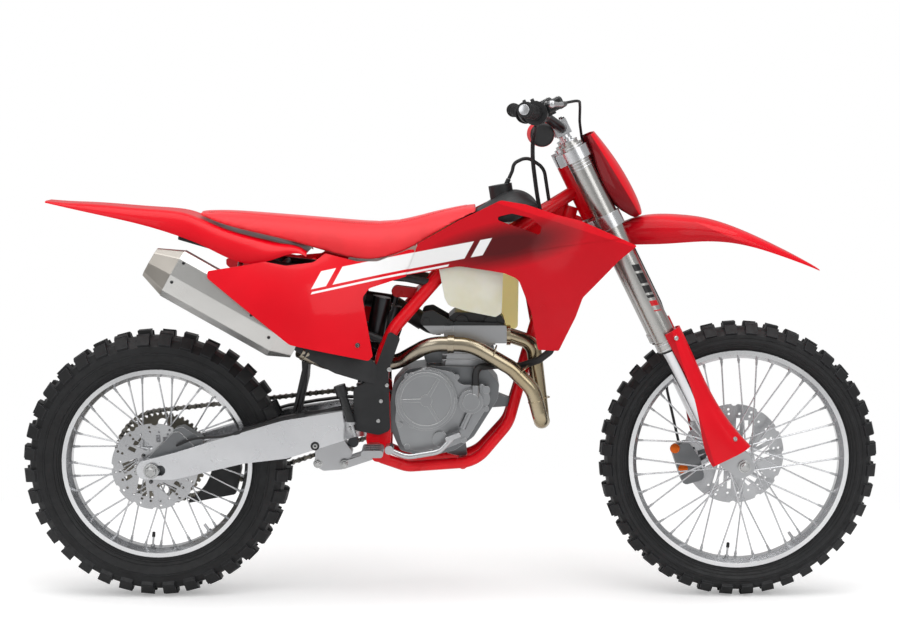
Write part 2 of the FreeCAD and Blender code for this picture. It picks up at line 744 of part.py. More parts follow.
def fork_feet():
    """Cast feet and the front axle that joins them."""
    pieces = []
    for side in (-1, 1):
        low, high = sorted((side * FOOT_IN, side * FOOT_OUT))
        lug = slab(
            [(-22, FOOT_TOP - 34), (24, FOOT_TOP - 34), (AXLE_LEAD + 26, 20), (AXLE_LEAD + 24, -26),
             (AXLE_LEAD - 24, -26), (-18, 30)],
            [8, 20, 22, 22, 22, 20], low, high,
        )
        cup = Part.makeCylinder(FORK_INNER + 4.5, 44, Vector(0, side * LEG_SPACING, FOOT_TOP - 44))
        pieces += [lug, cup]
    shaft = Part.makeCylinder(
        FRONT_AXLE_RADIUS, 2 * FOOT_OUT + 12, Vector(AXLE_LEAD, -FOOT_OUT - 6, 0), Vector(0, 1, 0)
    )
    nut = Part.makeCylinder(16, 6, Vector(AXLE_LEAD, -FOOT_OUT - 6, 0), Vector(0, 1, 0))
    spacers = [
        Part.makeCylinder(20, FOOT_IN - 70 - RUN_FIT, Vector(AXLE_LEAD, -FOOT_IN, 0), Vector(0, 1, 0)),
        Part.makeCylinder(20, FOOT_IN - 70 - RUN_FIT, Vector(AXLE_LEAD, 70 + RUN_FIT, 0), Vector(0, 1, 0)),
    ]
    return [on_fork(fuse(pieces + [shaft, nut] + spacers))]


GUARD_TOP = 392.0


def fork_guard(side):
    """A red cover round the front and outside of one inner tube, down to the foot."""
    wires = []
    stations = [
        (GUARD_TOP, 45, 38, 12), (330, 44, 37, 14), (200, 43, 36, 6), (120, 52, 38, -16),
        (40, 73, 40, -24),
    ]
    for z, front, wide, back in stations:
        outer = [
            Vector(front * 0.82, -wide * 0.35, z), Vector(front, wide * 0.2, z),
            Vector(front * 0.72, wide * 0.82, z), Vector(front * 0.25, wide, z), Vector(back - 12, wide, z),
        ]
        inner = [p - Vector(3.2 if i < 3 else 0, 3.2 if i > 1 else 0, 0) for i, p in enumerate(outer)]
        wires.append(shell_section(outer, inner))
    guard = loft(wires)
    if side < 0:
        guard = mirrored(guard)
    guard.translate(Vector(0, side * (LEG_SPACING + 8), 0))
    low, high = sorted((side * (FOOT_OUT + SEAT_GAP), side * (LEG_SPACING + 8 + 38.5)))
    lug = Part.makeCylinder(7, high - low, Vector(4, low, 66), Vector(0, 1, 0))
    return fuse([guard, lug])


def fork_guards():
    """Both guards, each held by a lug on its foot."""
    return [on_fork(fork_guard(side)) for side in (-1, 1)]


BAR_POINTS = [(-1.0, 0.0, 960.0), (-1.0, 70.0, 960.0), (-28.0, 165.0, 1006.0), (-75.0, 400.0, 1047.0)]


def bar_point(y):
    """A point on the right-hand outer stretch of the bar, at a distance out from the middle."""
    ax, ay, az = BAR_POINTS[2]
    bx, by, bz = BAR_POINTS[3]
    share = (y - ay) / (by - ay)
    return Vector(ax + share * (bx - ax), -y, az + share * (bz - az))


def handlebar():
    """One bent tube from grip to grip."""
    half = [Vector(x, -y, z) for x, y, z in BAR_POINTS[1:]]
    points = half[::-1] + [Vector(p.x, -p.y, p.z) for p in half]
    return [on_fork(tube(points, BAR_RADIUS, [0, 80, 60, 60, 80, 0]))]


def on_bar(y_low, y_high, radius):
    """A sleeve round the right-hand end of the bar."""
    start, end = bar_point(y_low), bar_point(y_high)
    sleeve = bar(start, end, radius)
    return sleeve.cut(bar(start - (end - start), end + (end - start), BAR_RADIUS + 0.2))


def grips():
    """Rubber grips with an inner flange and a closed end."""
    body = fuse([on_bar(284, 401, 17), on_bar(282, 287, 29)])
    cap_start = bar_point(400) + (bar_point(401) - bar_point(400)) * 0.3
    cap = bar(cap_start, bar_point(407), 17)
    grip = fuse([body, cap])
    return [on_fork(item) for item in both(grip)]


def hand_controls():
    """Throttle drum and clutch perch with their fluid reservoirs."""
    housing = on_bar(252, 280, 25)
    perch = on_bar(205, 232, 19)
    at = bar_point(215)
    reservoir = Part.makeBox(44, 60, 28, Vector(at.x + 16, at.y - 30, at.z - 6))
    reservoir = reservoir.makeFillet(6, reservoir.Edges)
    arm = Part.makeBox(24, 22, 22, Vector(at.x + 10, at.y - 11, at.z - 11))
    body = fuse([perch, reservoir, arm.cut(on_bar_hole()), lever_solid()])
    right = [housing, body]
    return [on_fork(item) for piece in right for item in both(piece)]


def on_bar_hole():
    """The space that the bar itself takes up on the right-hand side."""
    return bar(bar_point(180), bar_point(420), BAR_RADIUS + 0.2)


def lever_solid():
    """The right-hand lever, ahead of its grip, on the perch."""
    at = bar_point(215)
    points = [
        Vector(at.x + 50, at.y - 6, at.z - 2), Vector(at.x + 62, at.y - 34, at.z),
        Vector(at.x + 44, at.y - 90, at.z + 6), Vector(at.x + 26, at.y - 165, at.z + 16),
    ]
    lever = tube(points, 6.0, [0, 25, 80, 0])
    ball = Part.makeSphere(9, points[-1])
    return fuse([lever, ball])


def bar_pad():
    """A round foam pad behind the bar's clamps."""
    pad = Part.makeCylinder(31, 200, Vector(BAR_X - 51.3, -100, BAR_Z + 8), Vector(0, 1, 0))
    return [on_fork(pad.makeFillet(10, [e for e in pad.Edges if e.Closed]))]


def number_plate():
    """A curved plate that wraps the fork tubes' front."""
    wires, solid_wires = [], []
    stations = [
        (915, 72, 88, 48), (880, 80, 100, 44), (820, 90, 112, 34), (760, 95, 110, 34),
        (705, 95, 88, 50), (678, 91, 60, 70),
    ]
    for z, front, wide, back in stations:
        outer = [
            Vector(back, -wide, z), Vector(back + 0.6 * (front - back), -0.86 * wide, z),
            Vector(front - 3, -0.45 * wide, z), Vector(front, 0, z), Vector(front - 3, 0.45 * wide, z),
            Vector(back + 0.6 * (front - back), 0.86 * wide, z), Vector(back, wide, z),
        ]
        inner = [Vector(p.x - 3.0, p.y * (1 - 3.0 / wide), z) for p in outer]
        wires.append(shell_section(outer, inner))
        solid_wires.append(closed([Vector(p.x - 1.5, p.y * (1 - 1.5 / wide), z) for p in outer]))
    inside = loft(solid_wires)
    lugs = []
    for side in (-1, 1):
        near = Part.makeCylinder(7, 34, Vector(0, side * 94, 800), Vector(1, 0, 0))
        far = Part.makeCylinder(7, 60, Vector(30, side * 94, 800), Vector(1, 0, 0)).common(inside)
        leg = Part.makeCylinder(FORK_OUTER + SEAT_GAP, 500, Vector(0, side * LEG_SPACING, 600))
        lugs.append(largest(fuse([far, near]).cut(leg)))
    return [on_fork(fuse([loft(wires)] + lugs))]


def front_fender():
    """A long mudguard bolted under the lower clamp."""
    stations = [
        (1130, 925, 885, 44), (1180, 958, 905, 52), (1215, 972, 908, 60), (1260, 980, 910, 74),
        (1373, 975, 917, 80), (1446, 957, 914, 79), (1534, 921, 894, 70), (1636, 870, 858, 46),
        (1682, 843, 839, 24),
    ]
    wires, solid_wires = [], []
    for x, top, low, half in stations:
        drop = top - low
        shape = [
            (-half, 0.0), (-0.93 * half, 0.62), (-0.62 * half, 0.93), (0.0, 1.0),
            (0.62 * half, 0.93), (0.93 * half, 0.62), (half, 0.0),
        ]
        outer = [Vector(x, y, low + share * drop) for y, share in shape]
        inner = [Vector(x, y * (1 - 2.8 / half), low + share * drop - 2.8 * share) for y, share in shape]
        wires.append(shell_section(outer, inner))
        solid_wires.append(closed([p - Vector(0, 0, 1.4) for p in outer]))
    below = loft(solid_wires)
    bosses = []
    for y in (-32, 32):
        post = on_fork(Part.makeCylinder(8, 60, Vector(2, y, LOWER_CLAMP_Z - SEAT_GAP - 60)))
        bosses.append(largest(post.cut(below)))
    return [fuse([loft(wires)] + bosses)]


FRONT_CALIPER = [(-118, -14), (-60, -24), (-48, 30), (-56, 84), (-104, 90)]


def front_caliper():
    """A caliper that straddles the front disc, on an arm from the left foot."""
    low, high = FRONT_DISC_Y - 20, FRONT_DISC_Y + 22
    body = slab(FRONT_CALIPER, 14, low, high)
    slot = cross_slot(AXLE_LEAD, 0, FRONT_DISC_RADIUS + 4, FRONT_DISC_Y, DISC_THICK / 2 + 3)
    arm = slab([(-70, 64), (-50, -10), (-18.9, 34), (-21.6, 70)], [6, 6, 0, 0], FOOT_IN + 2, high)
    return [on_fork(fuse([body.cut(slot), arm]))]


def cross_slot(x, z, radius, y, half):
    """The room that a brake disc needs to turn."""
    return cross_bar(x, z, radius, y - half, y + half)


def front_brake_hose():
    """Brake hose from the right-hand lever down the left leg to the caliper."""
    at = bar_point(215)
    points = [
        Vector(at.x + 38, at.y + 33, at.z + 8), Vector(66, -120, 1004), Vector(64, -40, 985),
        Vector(52, 40, 950), Vector(38, 75, 900), Vector(38, 75, 440), Vector(22, 66, 316),
        Vector(-44, 66, 236), Vector(-78, 68, 91),
    ]
    return [on_fork(tube(points, 3.5, 60))]


# Body panels, seat and tank

SHROUD_COLUMNS = [590.0, 720.0, 840.0, 960.0, 1080.0, 1210.0]
SHROUD_ROWS = [640.0, 760.0, 880.0, 960.0, 1040.0]
SHROUD_DEPTH = [
    [150.0, 140.0, 124.0, 112.0, 98.0],
    [150.0, 142.0, 128.0, 115.0, 102.0],
    [156.0, 150.0, 139.0, 126.0, 112.0],
    [178.0, 176.0, 168.0, 152.0, 134.0],
    [205.0, 208.0, 206.0, 188.0, 160.0],
    [222.0, 230.0, 234.0, 216.0, 184.0],
]
PANEL_THICK = 3.0


CREASE_DEPTH = 2.2


def shroud_solid():
    """The right-hand radiator shroud, with its window over the tank."""
    outline = [
        (640, 838), (668, 915), (769, 972), (812, 992), (873, 1022), (935, 1012), (1010, 988),
        (1069, 974), (1144, 942), (1200, 917), (1156, 880), (1071, 789), (1054, 740), (1014, 656),
        (964, 657), (947, 751), (916, 830), (881, 844), (769, 860),
    ]
    radii = [2, 8, 40, 10, 20, 40, 20, 60, 60, 3, 60, 20, 60, 6, 6, 60, 30, 20, 60]
    sheet = skin(SHROUD_COLUMNS, SHROUD_ROWS, SHROUD_DEPTH, PANEL_THICK)
    whole = sheet.common(slab(outline, radii, -300, -60))
    below = slab([(600, 760), (760, 846), (821, 871), (949, 900), (1063, 920), (1260, 948), (1260, 560),
                  (600, 560)], [0, 200, 200, 300, 300, 0, 0, 0], -320, -40)
    lower = whole.common(below)
    lower.translate(Vector(0, CREASE_DEPTH, 0))
    shroud = fuse([whole.cut(below), lower])
    window = slab([(850, 978), (900, 990), (945, 980), (972, 958), (968, 938), (935, 950)], 6, -300, -60)
    outside = skin(SHROUD_COLUMNS, SHROUD_ROWS, SHROUD_DEPTH, -80)
    outside.translate(Vector(0, PANEL_THICK / 2, 0))
    boss = cross_bar(976, 760, 8, -240, -144 - SEAT_GAP).cut(outside)
    return fuse([shroud.cut(window), largest(boss)])


PANEL_COLUMNS = [120.0, 260.0, 400.0, 540.0, 680.0]
PANEL_ROWS = [600.0, 700.0, 800.0, 900.0]
PANEL_DEPTH = [
    [206.0, 206.0, 204.0, 176.0],
    [214.0, 214.0, 206.0, 160.0],
    [208.0, 205.0, 190.0, 136.0],
    [168.0, 162.0, 148.0, 122.0],
    [146.0, 140.0, 132.0, 120.0],
]


def side_panel_solid():
    """The right-hand cover below the seat, over the front of the silencer."""
    outline = [
        (156, 853), (156, 836), (280, 736), (356, 674), (547, 628), (557, 640), (532, 784), (548, 806),
        (639, 834), (665, 908), (568, 871), (517, 872), (440, 892), (412, 871), (345, 864), (294, 874),
        (232, 864),
    ]
    radii = [6, 10, 10, 20, 8, 6, 14, 16, 2, 8, 30, 10, 6, 20, 20, 6, 10]
    sheet = skin(PANEL_COLUMNS, PANEL_ROWS, PANEL_DEPTH, PANEL_THICK).common(slab(outline, radii, -300, -60))
    outside = skin(PANEL_COLUMNS, PANEL_ROWS, PANEL_DEPTH, -80)
    outside.translate(Vector(0, PANEL_THICK / 2, 0))
    bosses = [cross_bar(392, 851, 7, -240, -84), cross_bar(545, 838, 7, -240, -84)]
    rail = subframe_rail(-1, RAIL_TUBE + SEAT_GAP)
    return fuse([sheet] + [largest(item.cut([outside, rail])) for item in bosses])


def seat_solid():
    """One padded saddle, high at the front over the tank and flat to the tail."""
    stations = [
        (118, 989, 984, 30, 44), (150, 990, 971, 44, 66), (270, 982, 939, 62, 92),
        (410, 970, 904, 68, 104), (520, 961, 877, 66, 108), (600, 961, 884, 62, 106),
        (680, 977, 921, 56, 100), (770, 1000, 973, 46, 92), (812, 1007, 992, 38, 80),
    ]
    wires = []
    for x, top, low, half_top, half_low in stations:
        side_z = low + 0.5 * (top - low)
        side_y = half_top + 0.62 * (half_low - half_top)
        shape = [
            (-half_low, low), (-side_y - 3, side_z), (-half_top * 0.82, top - 3), (0, top),
            (half_top * 0.82, top - 3), (side_y + 3, side_z), (half_low, low),
        ]
        base_z = low - 1
        crown = open_curve([Vector(x, y, z) for y, z in shape])
        left, right = Vector(x, half_low, low), Vector(x, -half_low, low)
        floor = Part.LineSegment(left, Vector(x, half_low - 14, base_z)).toShape()
        base = Part.LineSegment(Vector(x, half_low - 14, base_z), Vector(x, 14 - half_low, base_z)).toShape()
        close = Part.LineSegment(Vector(x, 14 - half_low, base_z), right).toShape()
        wires.append(Part.Wire([crown, floor, base, close]))
    return loft(wires)


def rear_fender_solid():
    """The tail: a tapered mudguard with side skirts that run forward below the seat."""
    stations = [
        (-268, 1017, 1012, 46), (-209, 1012, 1000, 62), (-88, 1004, 975, 80), (12, 996, 951, 92),
        (90, 986, 926, 99), (170, 953, 891, 108), (230, 934, 868, 116), (300, 917, 872, 120),
        (392, 893, 882, 124),
    ]
    wires, solid_wires = [], []
    for x, top, low, half in stations:
        drop = top - low
        shape = [
            (-half, 0.0), (-0.95 * half, 0.55), (-0.8 * half, 0.93), (-0.4 * half, 1.0), (0.0, 1.0),
            (0.4 * half, 1.0), (0.8 * half, 0.93), (0.95 * half, 0.55), (half, 0.0),
        ]
        outer = [Vector(x, y, low + share * drop) for y, share in shape]
        inner = [Vector(x, y * (1 - 3.0 / half), low + share * drop - 3.0 * share) for y, share in shape]
        wires.append(shell_section(outer, inner))
        middle = [
            Vector(x, y * (1 - 1.5 / half), low + share * drop - 1.5 * share) for y, share in shape
        ]
        solid_wires.append(closed(middle))
    stud = cross_bar(172, 902, 6, -130, -72).common(loft(solid_wires))
    stud = largest(stud.cut(subframe_rail(-1, RAIL_TUBE + SEAT_GAP)))
    return fuse([loft(wires)] + both(stud))


def tank_solid():
    """The fuel tank, over the main tubes with a lobe down each side, and its black cover and cap."""
    stations = [
        (690, 852, 920, 80), (740, 884, 956, 94), (800, 918, 985, 104), (850, 942, 1016, 106),
        (910, 970, 1042, 104), (945, 990, 1034, 96), (966, 1003, 1013, 84),
    ]
    wires = []
    for x, low, top, half in stations:
        mid = (low + top) / 2
        shape = [
            (-half * 0.94, low), (-half, mid), (-half * 0.72, top - 8), (0, top), (half * 0.72, top - 8),
            (half, mid), (half * 0.94, low),
        ]
        crown = open_curve([Vector(x, y, z) for y, z in shape])
        floor = Part.LineSegment(Vector(x, half * 0.94, low), Vector(x, -half * 0.94, low)).toShape()
        wires.append(Part.Wire([crown, floor]))
    saddle = loft(wires)
    right = slab(
        [(716, 876), (734, 780), (744, 761), (786, 747), (861, 732), (876, 742), (882, 940), (770, 904)],
        [8, 10, 12, 20, 10, 10, 8, 20], -118, -93,
    )
    left = slab(
        [(716, 876), (734, 780), (744, 758), (800, 742), (858, 734), (888, 680), (924, 676), (926, 856),
         (892, 942), (770, 904)],
        [8, 10, 12, 20, 20, 12, 12, 20, 8, 20], 93, 118,
    )
    room = slab([(600, 880), (680, 916), (770, 968), (812.6, 988), (812.6, 1100), (600, 1100)], 0, -150, 150)
    split = slab([(660, 958), (1000, 972), (1000, 1100), (660, 1100)], 0, -150, 150)
    lowered = split.copy()
    lowered.translate(Vector(0, 0, -SEAT_GAP))
    cover = saddle.cut(room).common(split)
    cap = bar(Vector(880, 0, 1020), Vector(874, 0, 1056), 30)
    neck = bar(Vector(888, 0, 1052), Vector(896, 0, 1070), 6)
    feet = both(cross_bar(830, 925, 12, -80, -40))
    tank = fuse([saddle.cut([room, lowered]), right, left] + feet)
    tank = largest(tank.cut(backbone_tubes(BACKBONE_TUBE + SEAT_GAP)))
    return tank, fuse([cover, cap, neck])


CLUTCH_X = 688.0
CLUTCH_Z = 523.0
RIGHT_SCREWS = [
    (622, 460), (640, 404), (700, 390), (782, 420), (838, 500), (826, 556), (764, 580), (640, 582),
]
LEFT_SCREWS = [(706, 452), (756, 418), (818, 436), (846, 500), (832, 560), (764, 584)]


def clutch_cover():
    """A round cover with a raised ring, a sunk face and three ribs across it."""
    disc = cross_bar(CLUTCH_X, CLUTCH_Z, 77, -121, -106)
    ring = cross_bar(CLUTCH_X, CLUTCH_Z, 71, -128, -120)
    sunk = cross_bar(CLUTCH_X, CLUTCH_Z, 63, -130, -124)
    rib = slab(
        [(CLUTCH_X - 5, CLUTCH_Z), (CLUTCH_X - 3, CLUTCH_Z + 66), (CLUTCH_X + 3, CLUTCH_Z + 66),
         (CLUTCH_X + 5, CLUTCH_Z)], 0, -127.5, -123)
    boss = cross_bar(CLUTCH_X, CLUTCH_Z, 15, -127.5, -123)
    bolt = cross_bar(CLUTCH_X, CLUTCH_Z + 73, 6.5, -125, -106)
    ribs = around(rib, 3, CLUTCH_X, CLUTCH_Z, 30)
    return fuse([fuse([disc, ring]).cut(sunk), boss] + ribs + around(bolt, 3, CLUTCH_X, CLUTCH_Z, 90))


def cover_screws(places, y_low, y_high):
    """Bosses for the screws round the rim of a side cover."""
    return [cross_bar(x, z, 7, y_low, y_high) for x, z in places]


def engine():
    """Crankcases, side covers, cylinder and head."""
    case = slab(
        [(598, 444), (622, 388), (690, 372), (762, 390), (808, 424), (868, 520), (872, 560), (838, 600),
         (700, 604), (640, 596), (604, 556), (596, 500)],
        [20, 16, 60, 40, 30, 20, 20, 12, 12, 30, 30, 20], -76, 62,
    )
    front_lug = slab([(850, 488), (901.5, 492), (901.5, 512), (856, 530)], [0, 4, 4, 0], -15, 15)
    low_lug = slab([(740, 372), (764, 366), (792, 366), (786, 410)], [0, 4, 4, 0], -22, 22)
    case = fuse([case, front_lug, low_lug]).cut(cross_bar(780, 350, 12 + SEAT_GAP, -90, 90))
    starter = cross_bar(706, 622, 24, -20, 58)
    starter_foot = slab([(686, 596), (726, 596), (720, 624), (692, 624)], 0, -16, 50)
    case = fuse([case, starter, starter_foot])
    write("crankcase", [case])
    right = fuse([
        slab(
            [(610, 470), (630, 400), (700, 384), (790, 420), (850, 520), (840, 560), (770, 560),
             (760, 590), (690, 606), (620, 570)],
            [30, 30, 60, 40, 30, 20, 20, 20, 40, 40], -106, -76,
        ),
        clutch_cover(),
        cross_bar(800, 520, 30, -124, -106),
        cross_bar(800, 520, 21, -131, -124),
        bar(Vector(811, -118, 530), Vector(811, -118, 560.5), 11),
        bar(Vector(800, -114, 500), Vector(778, -114, 452), 9),
        cross_bar(722, 424, 19, -114, -106),
        cross_bar(838, 548, 10, -112, -76),
    ] + cover_screws(RIGHT_SCREWS, -110, -100))
    left = fuse([
        slab([(700, 440), (760, 410), (820, 440), (850, 520), (820, 570), (740, 590), (706, 540)],
             30, 62, 80),
        cross_bar(768, 500, 60, 80, 98),
        cross_bar(768, 500, 48, 98, 104),
        cross_bar(768, 500, 14, 104, 107),
        slab([(700, 540), (724, 552), (706, 596), (676, 588)], 10, 62, 78),
        cross_bar(712, 470, 8, 78, 92),
        slab([(612, 442), (688, 424), (724, 462), (716, 500), (676, 528), (622, 520), (606, 480)],
             [14, 20, 12, 12, 20, 16, 16], 89.5, 93.5),
    ] + cover_screws(LEFT_SCREWS, 76, 84))
    write("engine_covers", [right, left])
    barrel = slab([(734, 600), (836, 600), (852, 660), (746, 660)], 6, -60, 60)
    barrel = barrel.cut(case)
    head = slab([(734, 660), (HEAD_FACE, 660), (HEAD_FACE, 704), (866, 712), (764, 716), (730, 706)],
                [4, 4, 8, 10, 10, 8], -70, 70)
    cam_cover = slab([(746, 706), (882, 700), (886, 716), (872, 734), (760, 738), (744, 724)],
                     [2, 2, 8, 12, 12, 8], -58, 58)
    ribs = [slab([(728, z), (858, z), (859, z + 3), (729, z + 3)], 0, -64, 64) for z in (616, 630, 644)]
    domes = [cross_bar(x, 716, 15, -64, 64) for x in (778, 850)]
    plug = bar(Vector(812, 0, 730), Vector(808, 0, 752), 11)
    hanger = slab([(756, 714), (756, 688), (704, 682), (672, 712), (680, 740), (704, 744)],
                  [0, 0, 12, 12, 12, 12], -73, -69)
    hangers = both(fuse([hanger, cross_bar(688, 716, 9, -78, -73), cross_bar(742, 701, 8, -77, -73)]))
    gasket = slab([(730, 656), (862, 656), (862, 660.5), (730, 660.5)], 0, -66, 66)
    top_end = fuse([barrel, head, cam_cover, gasket, plug] + domes + ribs + hangers)
    write("cylinder", [top_end.cut(case)])


HEADER_POINTS = [
    (896.5, -42, 678), (958, -44, 658), (981, -44, 464), (977, -102, 464), (955, -106, 548), (902, -108, 602),
    (800, -110, 662), (700, -104, 664), (618, -56, 612), (525, -55, 600), (440, -112, 618), (376, -148, 652.5),
]
HEADER_BENDS = [0, 40, 27, 27, 70, 80, 120, 90, 60, 80, 150, 0]
HEADER_RADIUS = 19.0
HEAD_FACE = 890.2


def header_solid():
    """The exhaust pipe: forward out of the head, round a low loop, and back past the cylinder."""
    points = [Vector(*p) for p in HEADER_POINTS]
    pipe = tube(points, HEADER_RADIUS, HEADER_BENDS)
    flange = bar(Vector(HEAD_FACE + SEAT_GAP, -42, 678), Vector(HEAD_FACE + 10, -42, 678), HEADER_RADIUS + 7)
    back = (points[-2] - points[-1]).normalize()
    sleeve = bar(points[-1] + back * 12, points[-1] + back * 42, HEADER_RADIUS + 2.5)
    joint = (points[7] - points[6]).normalize()
    clamp = bar(points[6] + joint * 42, points[6] + joint * 58, HEADER_RADIUS + 4)
    return fuse([pipe, flange, sleeve, clamp])


SILENCER_ANGLE = 29.7
SILENCER_BACK = Vector(66.5, -148, 845)


def silencer_solids():
    """A long six-sided canister with a cone at its inlet, and its end cap."""
    half = [(-48, 0), (-40, 44), (-16, 63.5), (16, 63.5), (40, 44), (48, 0)]
    ring = half + [(y, -z) for y, z in half[::-1][1:-1]]

    def wire(s, scale, sink):
        return rounded_path([Vector(s, y * scale, z * scale + sink) for y, z in ring], 8, True)

    body = loft([wire(0, 1, 0), wire(300, 1, 0)], True)
    cone = loft([wire(300, 1, 0), wire(352, 0.42, -14)], True)
    cap = loft([wire(-62, 0.6, -4), wire(0, 0.985, 0)], True)
    mouth = Part.makeCylinder(22, 40, Vector(-70, 0, -4), Vector(1, 0, 0))
    placed = Placement(SILENCER_BACK, Rotation(Vector(0, 1, 0), SILENCER_ANGLE))
    solids = []
    for item in (fuse([body, cone]), cap.cut(mouth)):
        item.Placement = placed.multiply(item.Placement)
        solids.append(item)
    strap = bar(Vector(222, -132, 812), Vector(228, -74.6, 885), 7)
    strap = largest(strap.cut(subframe_rail(-1, RAIL_TUBE + SEAT_GAP)))
    return [fuse([solids[0], strap]), solids[1]]


# Smaller pieces on the frame

RAIL_TUBE = 10.0


def subframe_rail(side, radius):
    """One rail under the seat, from the main tube to the tail."""
    points = [
        Vector(706, side * 79, 812), Vector(640, side * 82, 826), Vector(330, side * 84, 856),
        Vector(70, side * 60, 930),
    ]
    return tube(points, radius, [0, 60, 120, 0])


def subframe():
    """Rails under the seat and the struts that carry them, bolted to the main tubes."""
    pieces = []
    for side in (-1, 1):
        strut = tube(
            [Vector(594, side * 91, 664), Vector(520, side * 84, 692), Vector(330, side * 84, 852)],
            RAIL_TUBE, [0, 60, 0])
        pieces += [subframe_rail(side, RAIL_TUBE), strut]
    pieces.append(cross_bar(330, 856, 9, -84, 84))
    pieces.append(cross_bar(110, 920, 9, -64, 64))
    pieces.append(cross_bar(600, 830, 9, -80, 80))
    return [largest(fuse(pieces).cut(backbone_tubes(BACKBONE_TUBE + SEAT_GAP)))]


def airbox():
    """The air filter's box between the rails, with the mud flap that hangs from it."""
    box = slab([(290, 700), (470, 640), (520, 700), (540, 812), (500, 838), (300, 848.3)], 20, -73, 73)
    flap = slab([(386, 690), (392, 618), (352, 470), (346, 472), (380, 618), (372, 690)], [2, 20, 2, 2, 20, 2],
                -55, 55)
    boot = tube(
        [Vector(729.6, 44, 690), Vector(698, 44, 690), Vector(600, 50, 752), Vector(530, 50, 762)],
        20, [0, 30, 60, 0])
    band = bar(Vector(724, 44, 690), Vector(711, 44, 690), 22.5)
    body = bar(Vector(680, 45.1, 701.4), Vector(644, 47.3, 724.2), 23)
    return [fuse([box, flap, boot, band, body])]


def frame_guards():
    """Plastic guards over the frame's sides at the rider's boots."""
    outline = [
        (596, 697), (624, 679), (594, 594), (598, 446), (570, 434), (506, 447), (506, 553), (550, 572),
    ]
    guard = slab(outline, [8, 8, 30, 12, 20, 12, 12, 20], -114, -110.3)
    return both(guard)


def foot_pegs():
    """Serrated rests on brackets at the pivot plates."""
    peg = slab([(530, 398), (584, 398), (584, 416), (530, 416)], 8, -232, -136)
    notches = [Part.makeBox(80, 9, 8, Vector(517, -226 + 14 * i, 409)) for i in range(6)]
    windows = [Part.makeBox(34, 20, 40, Vector(540, -222 + 28 * i, 390)) for i in range(3)]
    peg = peg.cut(notches + windows)
    arm = slab([(540, 388), (574, 388), (574, 414), (540, 414)], 8, -140, -PIVOT_PLATE_OUT)
    return both(fuse([peg, arm]))


def foot_controls():
    """Rear brake pedal and its cylinder on the right, gear lever on the left."""
    pedal = tube(
        [Vector(596, -142, 402), Vector(640, -146, 384), Vector(720, -148, 398), Vector(752, -148, 432)],
        7, [0, 60, 40, 0])
    pad = slab([(740, 426), (776, 440), (770, 450), (734, 436)], 3, -168, -132)
    hub = cross_bar(596, 402, 11, -150, -PIVOT_PLATE_OUT)
    cylinder = fuse([
        bar(Vector(503, -125.3, 462), Vector(480, -125.3, 536), 11),
        bar(Vector(480, -125.3, 536), Vector(472, -125.3, 562), 15),
        bar(Vector(512, -125.3, 433), Vector(503, -125.3, 462), 4),
    ])
    lever = tube([Vector(656, 128, 408), Vector(700, 140, 424), Vector(764, 150, 452)], 6, [0, 60, 0])
    shaft = cross_bar(656, 408, 9, 62.3, 134)
    tip = cross_bar(764, 452, 8, 140, 176)
    return [fuse([pedal, pad, hub]), cylinder, fuse([lever, shaft, tip])]


SHOCK_LOW = Vector(500, 0, 398)
SHOCK_HIGH = Vector(612, 0, 786)
SPRING_TURNS = 7


def shock():
    """One coil-over unit on the middle plane, with its gas reservoir beside it."""
    run = (SHOCK_HIGH - SHOCK_LOW).normalize()
    rod = bar(SHOCK_LOW, SHOCK_LOW + run * 150, 9)
    low_eye = cross_bar(SHOCK_LOW.x, SHOCK_LOW.z, 14, -12, 12)
    neck = bar(SHOCK_LOW + run * 360, SHOCK_HIGH, 10)
    high_eye = cross_bar(SHOCK_HIGH.x, SHOCK_HIGH.z, 13, -11, 11)
    body = bar(SHOCK_LOW + run * 130, SHOCK_LOW + run * 368, 24)
    pieces = [rod, low_eye, neck, high_eye, body, bar(SHOCK_LOW + run * 44, SHOCK_LOW + run * 52, 34)]
    for i in range(SPRING_TURNS):
        start = SHOCK_LOW + run * (58 + 29 * i)
        ring = Part.makeTorus(28, 5.5, start, run)
        pieces.append(ring)
    pieces.append(bar(SHOCK_LOW + run * 52, SHOCK_LOW + run * 250, 23.5))
    pieces.append(bar(SHOCK_LOW + run * 250, SHOCK_LOW + run * 264, 35))
    pieces.append(bar(Vector(556, -48, 664), Vector(577, -48, 776), 23))
    pieces.append(bar(Vector(572, -48, 752), Vector(598, 0, 742), 13))
    return [fuse(pieces)]


def linkage():
    """The rocker and pull rods below the swingarm."""
    rocker = slab([(402, 414.8), (404, 338), (424, 326), (476, 330), (500, 372), (466, 423)],
                  [0, 12, 12, 12, 12, 0], -26, 26)
    rod = slab([(470, 330), (565.3, 362), (565.3, 382), (470, 350)], [9, 3, 3, 9], -36, -26.3)
    return [rocker] + both(rod)


def radiators():
    """Two finned cores, one behind each shroud."""
    core = Part.makeBox(28, 72, 176, Vector(-14, -36, -88))
    fins = [Part.makeBox(6, 60, 5, Vector(9, -30, -78 + 9.5 * i)) for i in range(17)]
    fins += [Part.makeBox(6, 60, 5, Vector(-15, -30, -78 + 9.5 * i)) for i in range(17)]
    ends = [Part.makeBox(34, 78, 16, Vector(-17, -39, z)) for z in (-96, 80)]
    core = fuse([core.cut(fins)] + ends)
    core.Placement = Placement(Vector(972, -108, 768), Rotation(Vector(0, 1, 0), -14))
    stay = bar(Vector(968, -80, 800), Vector(996, 0, 800), 6).cut(down_tube(DOWN_TUBE + SEAT_GAP))
    return both(fuse([core, largest(stay)]))


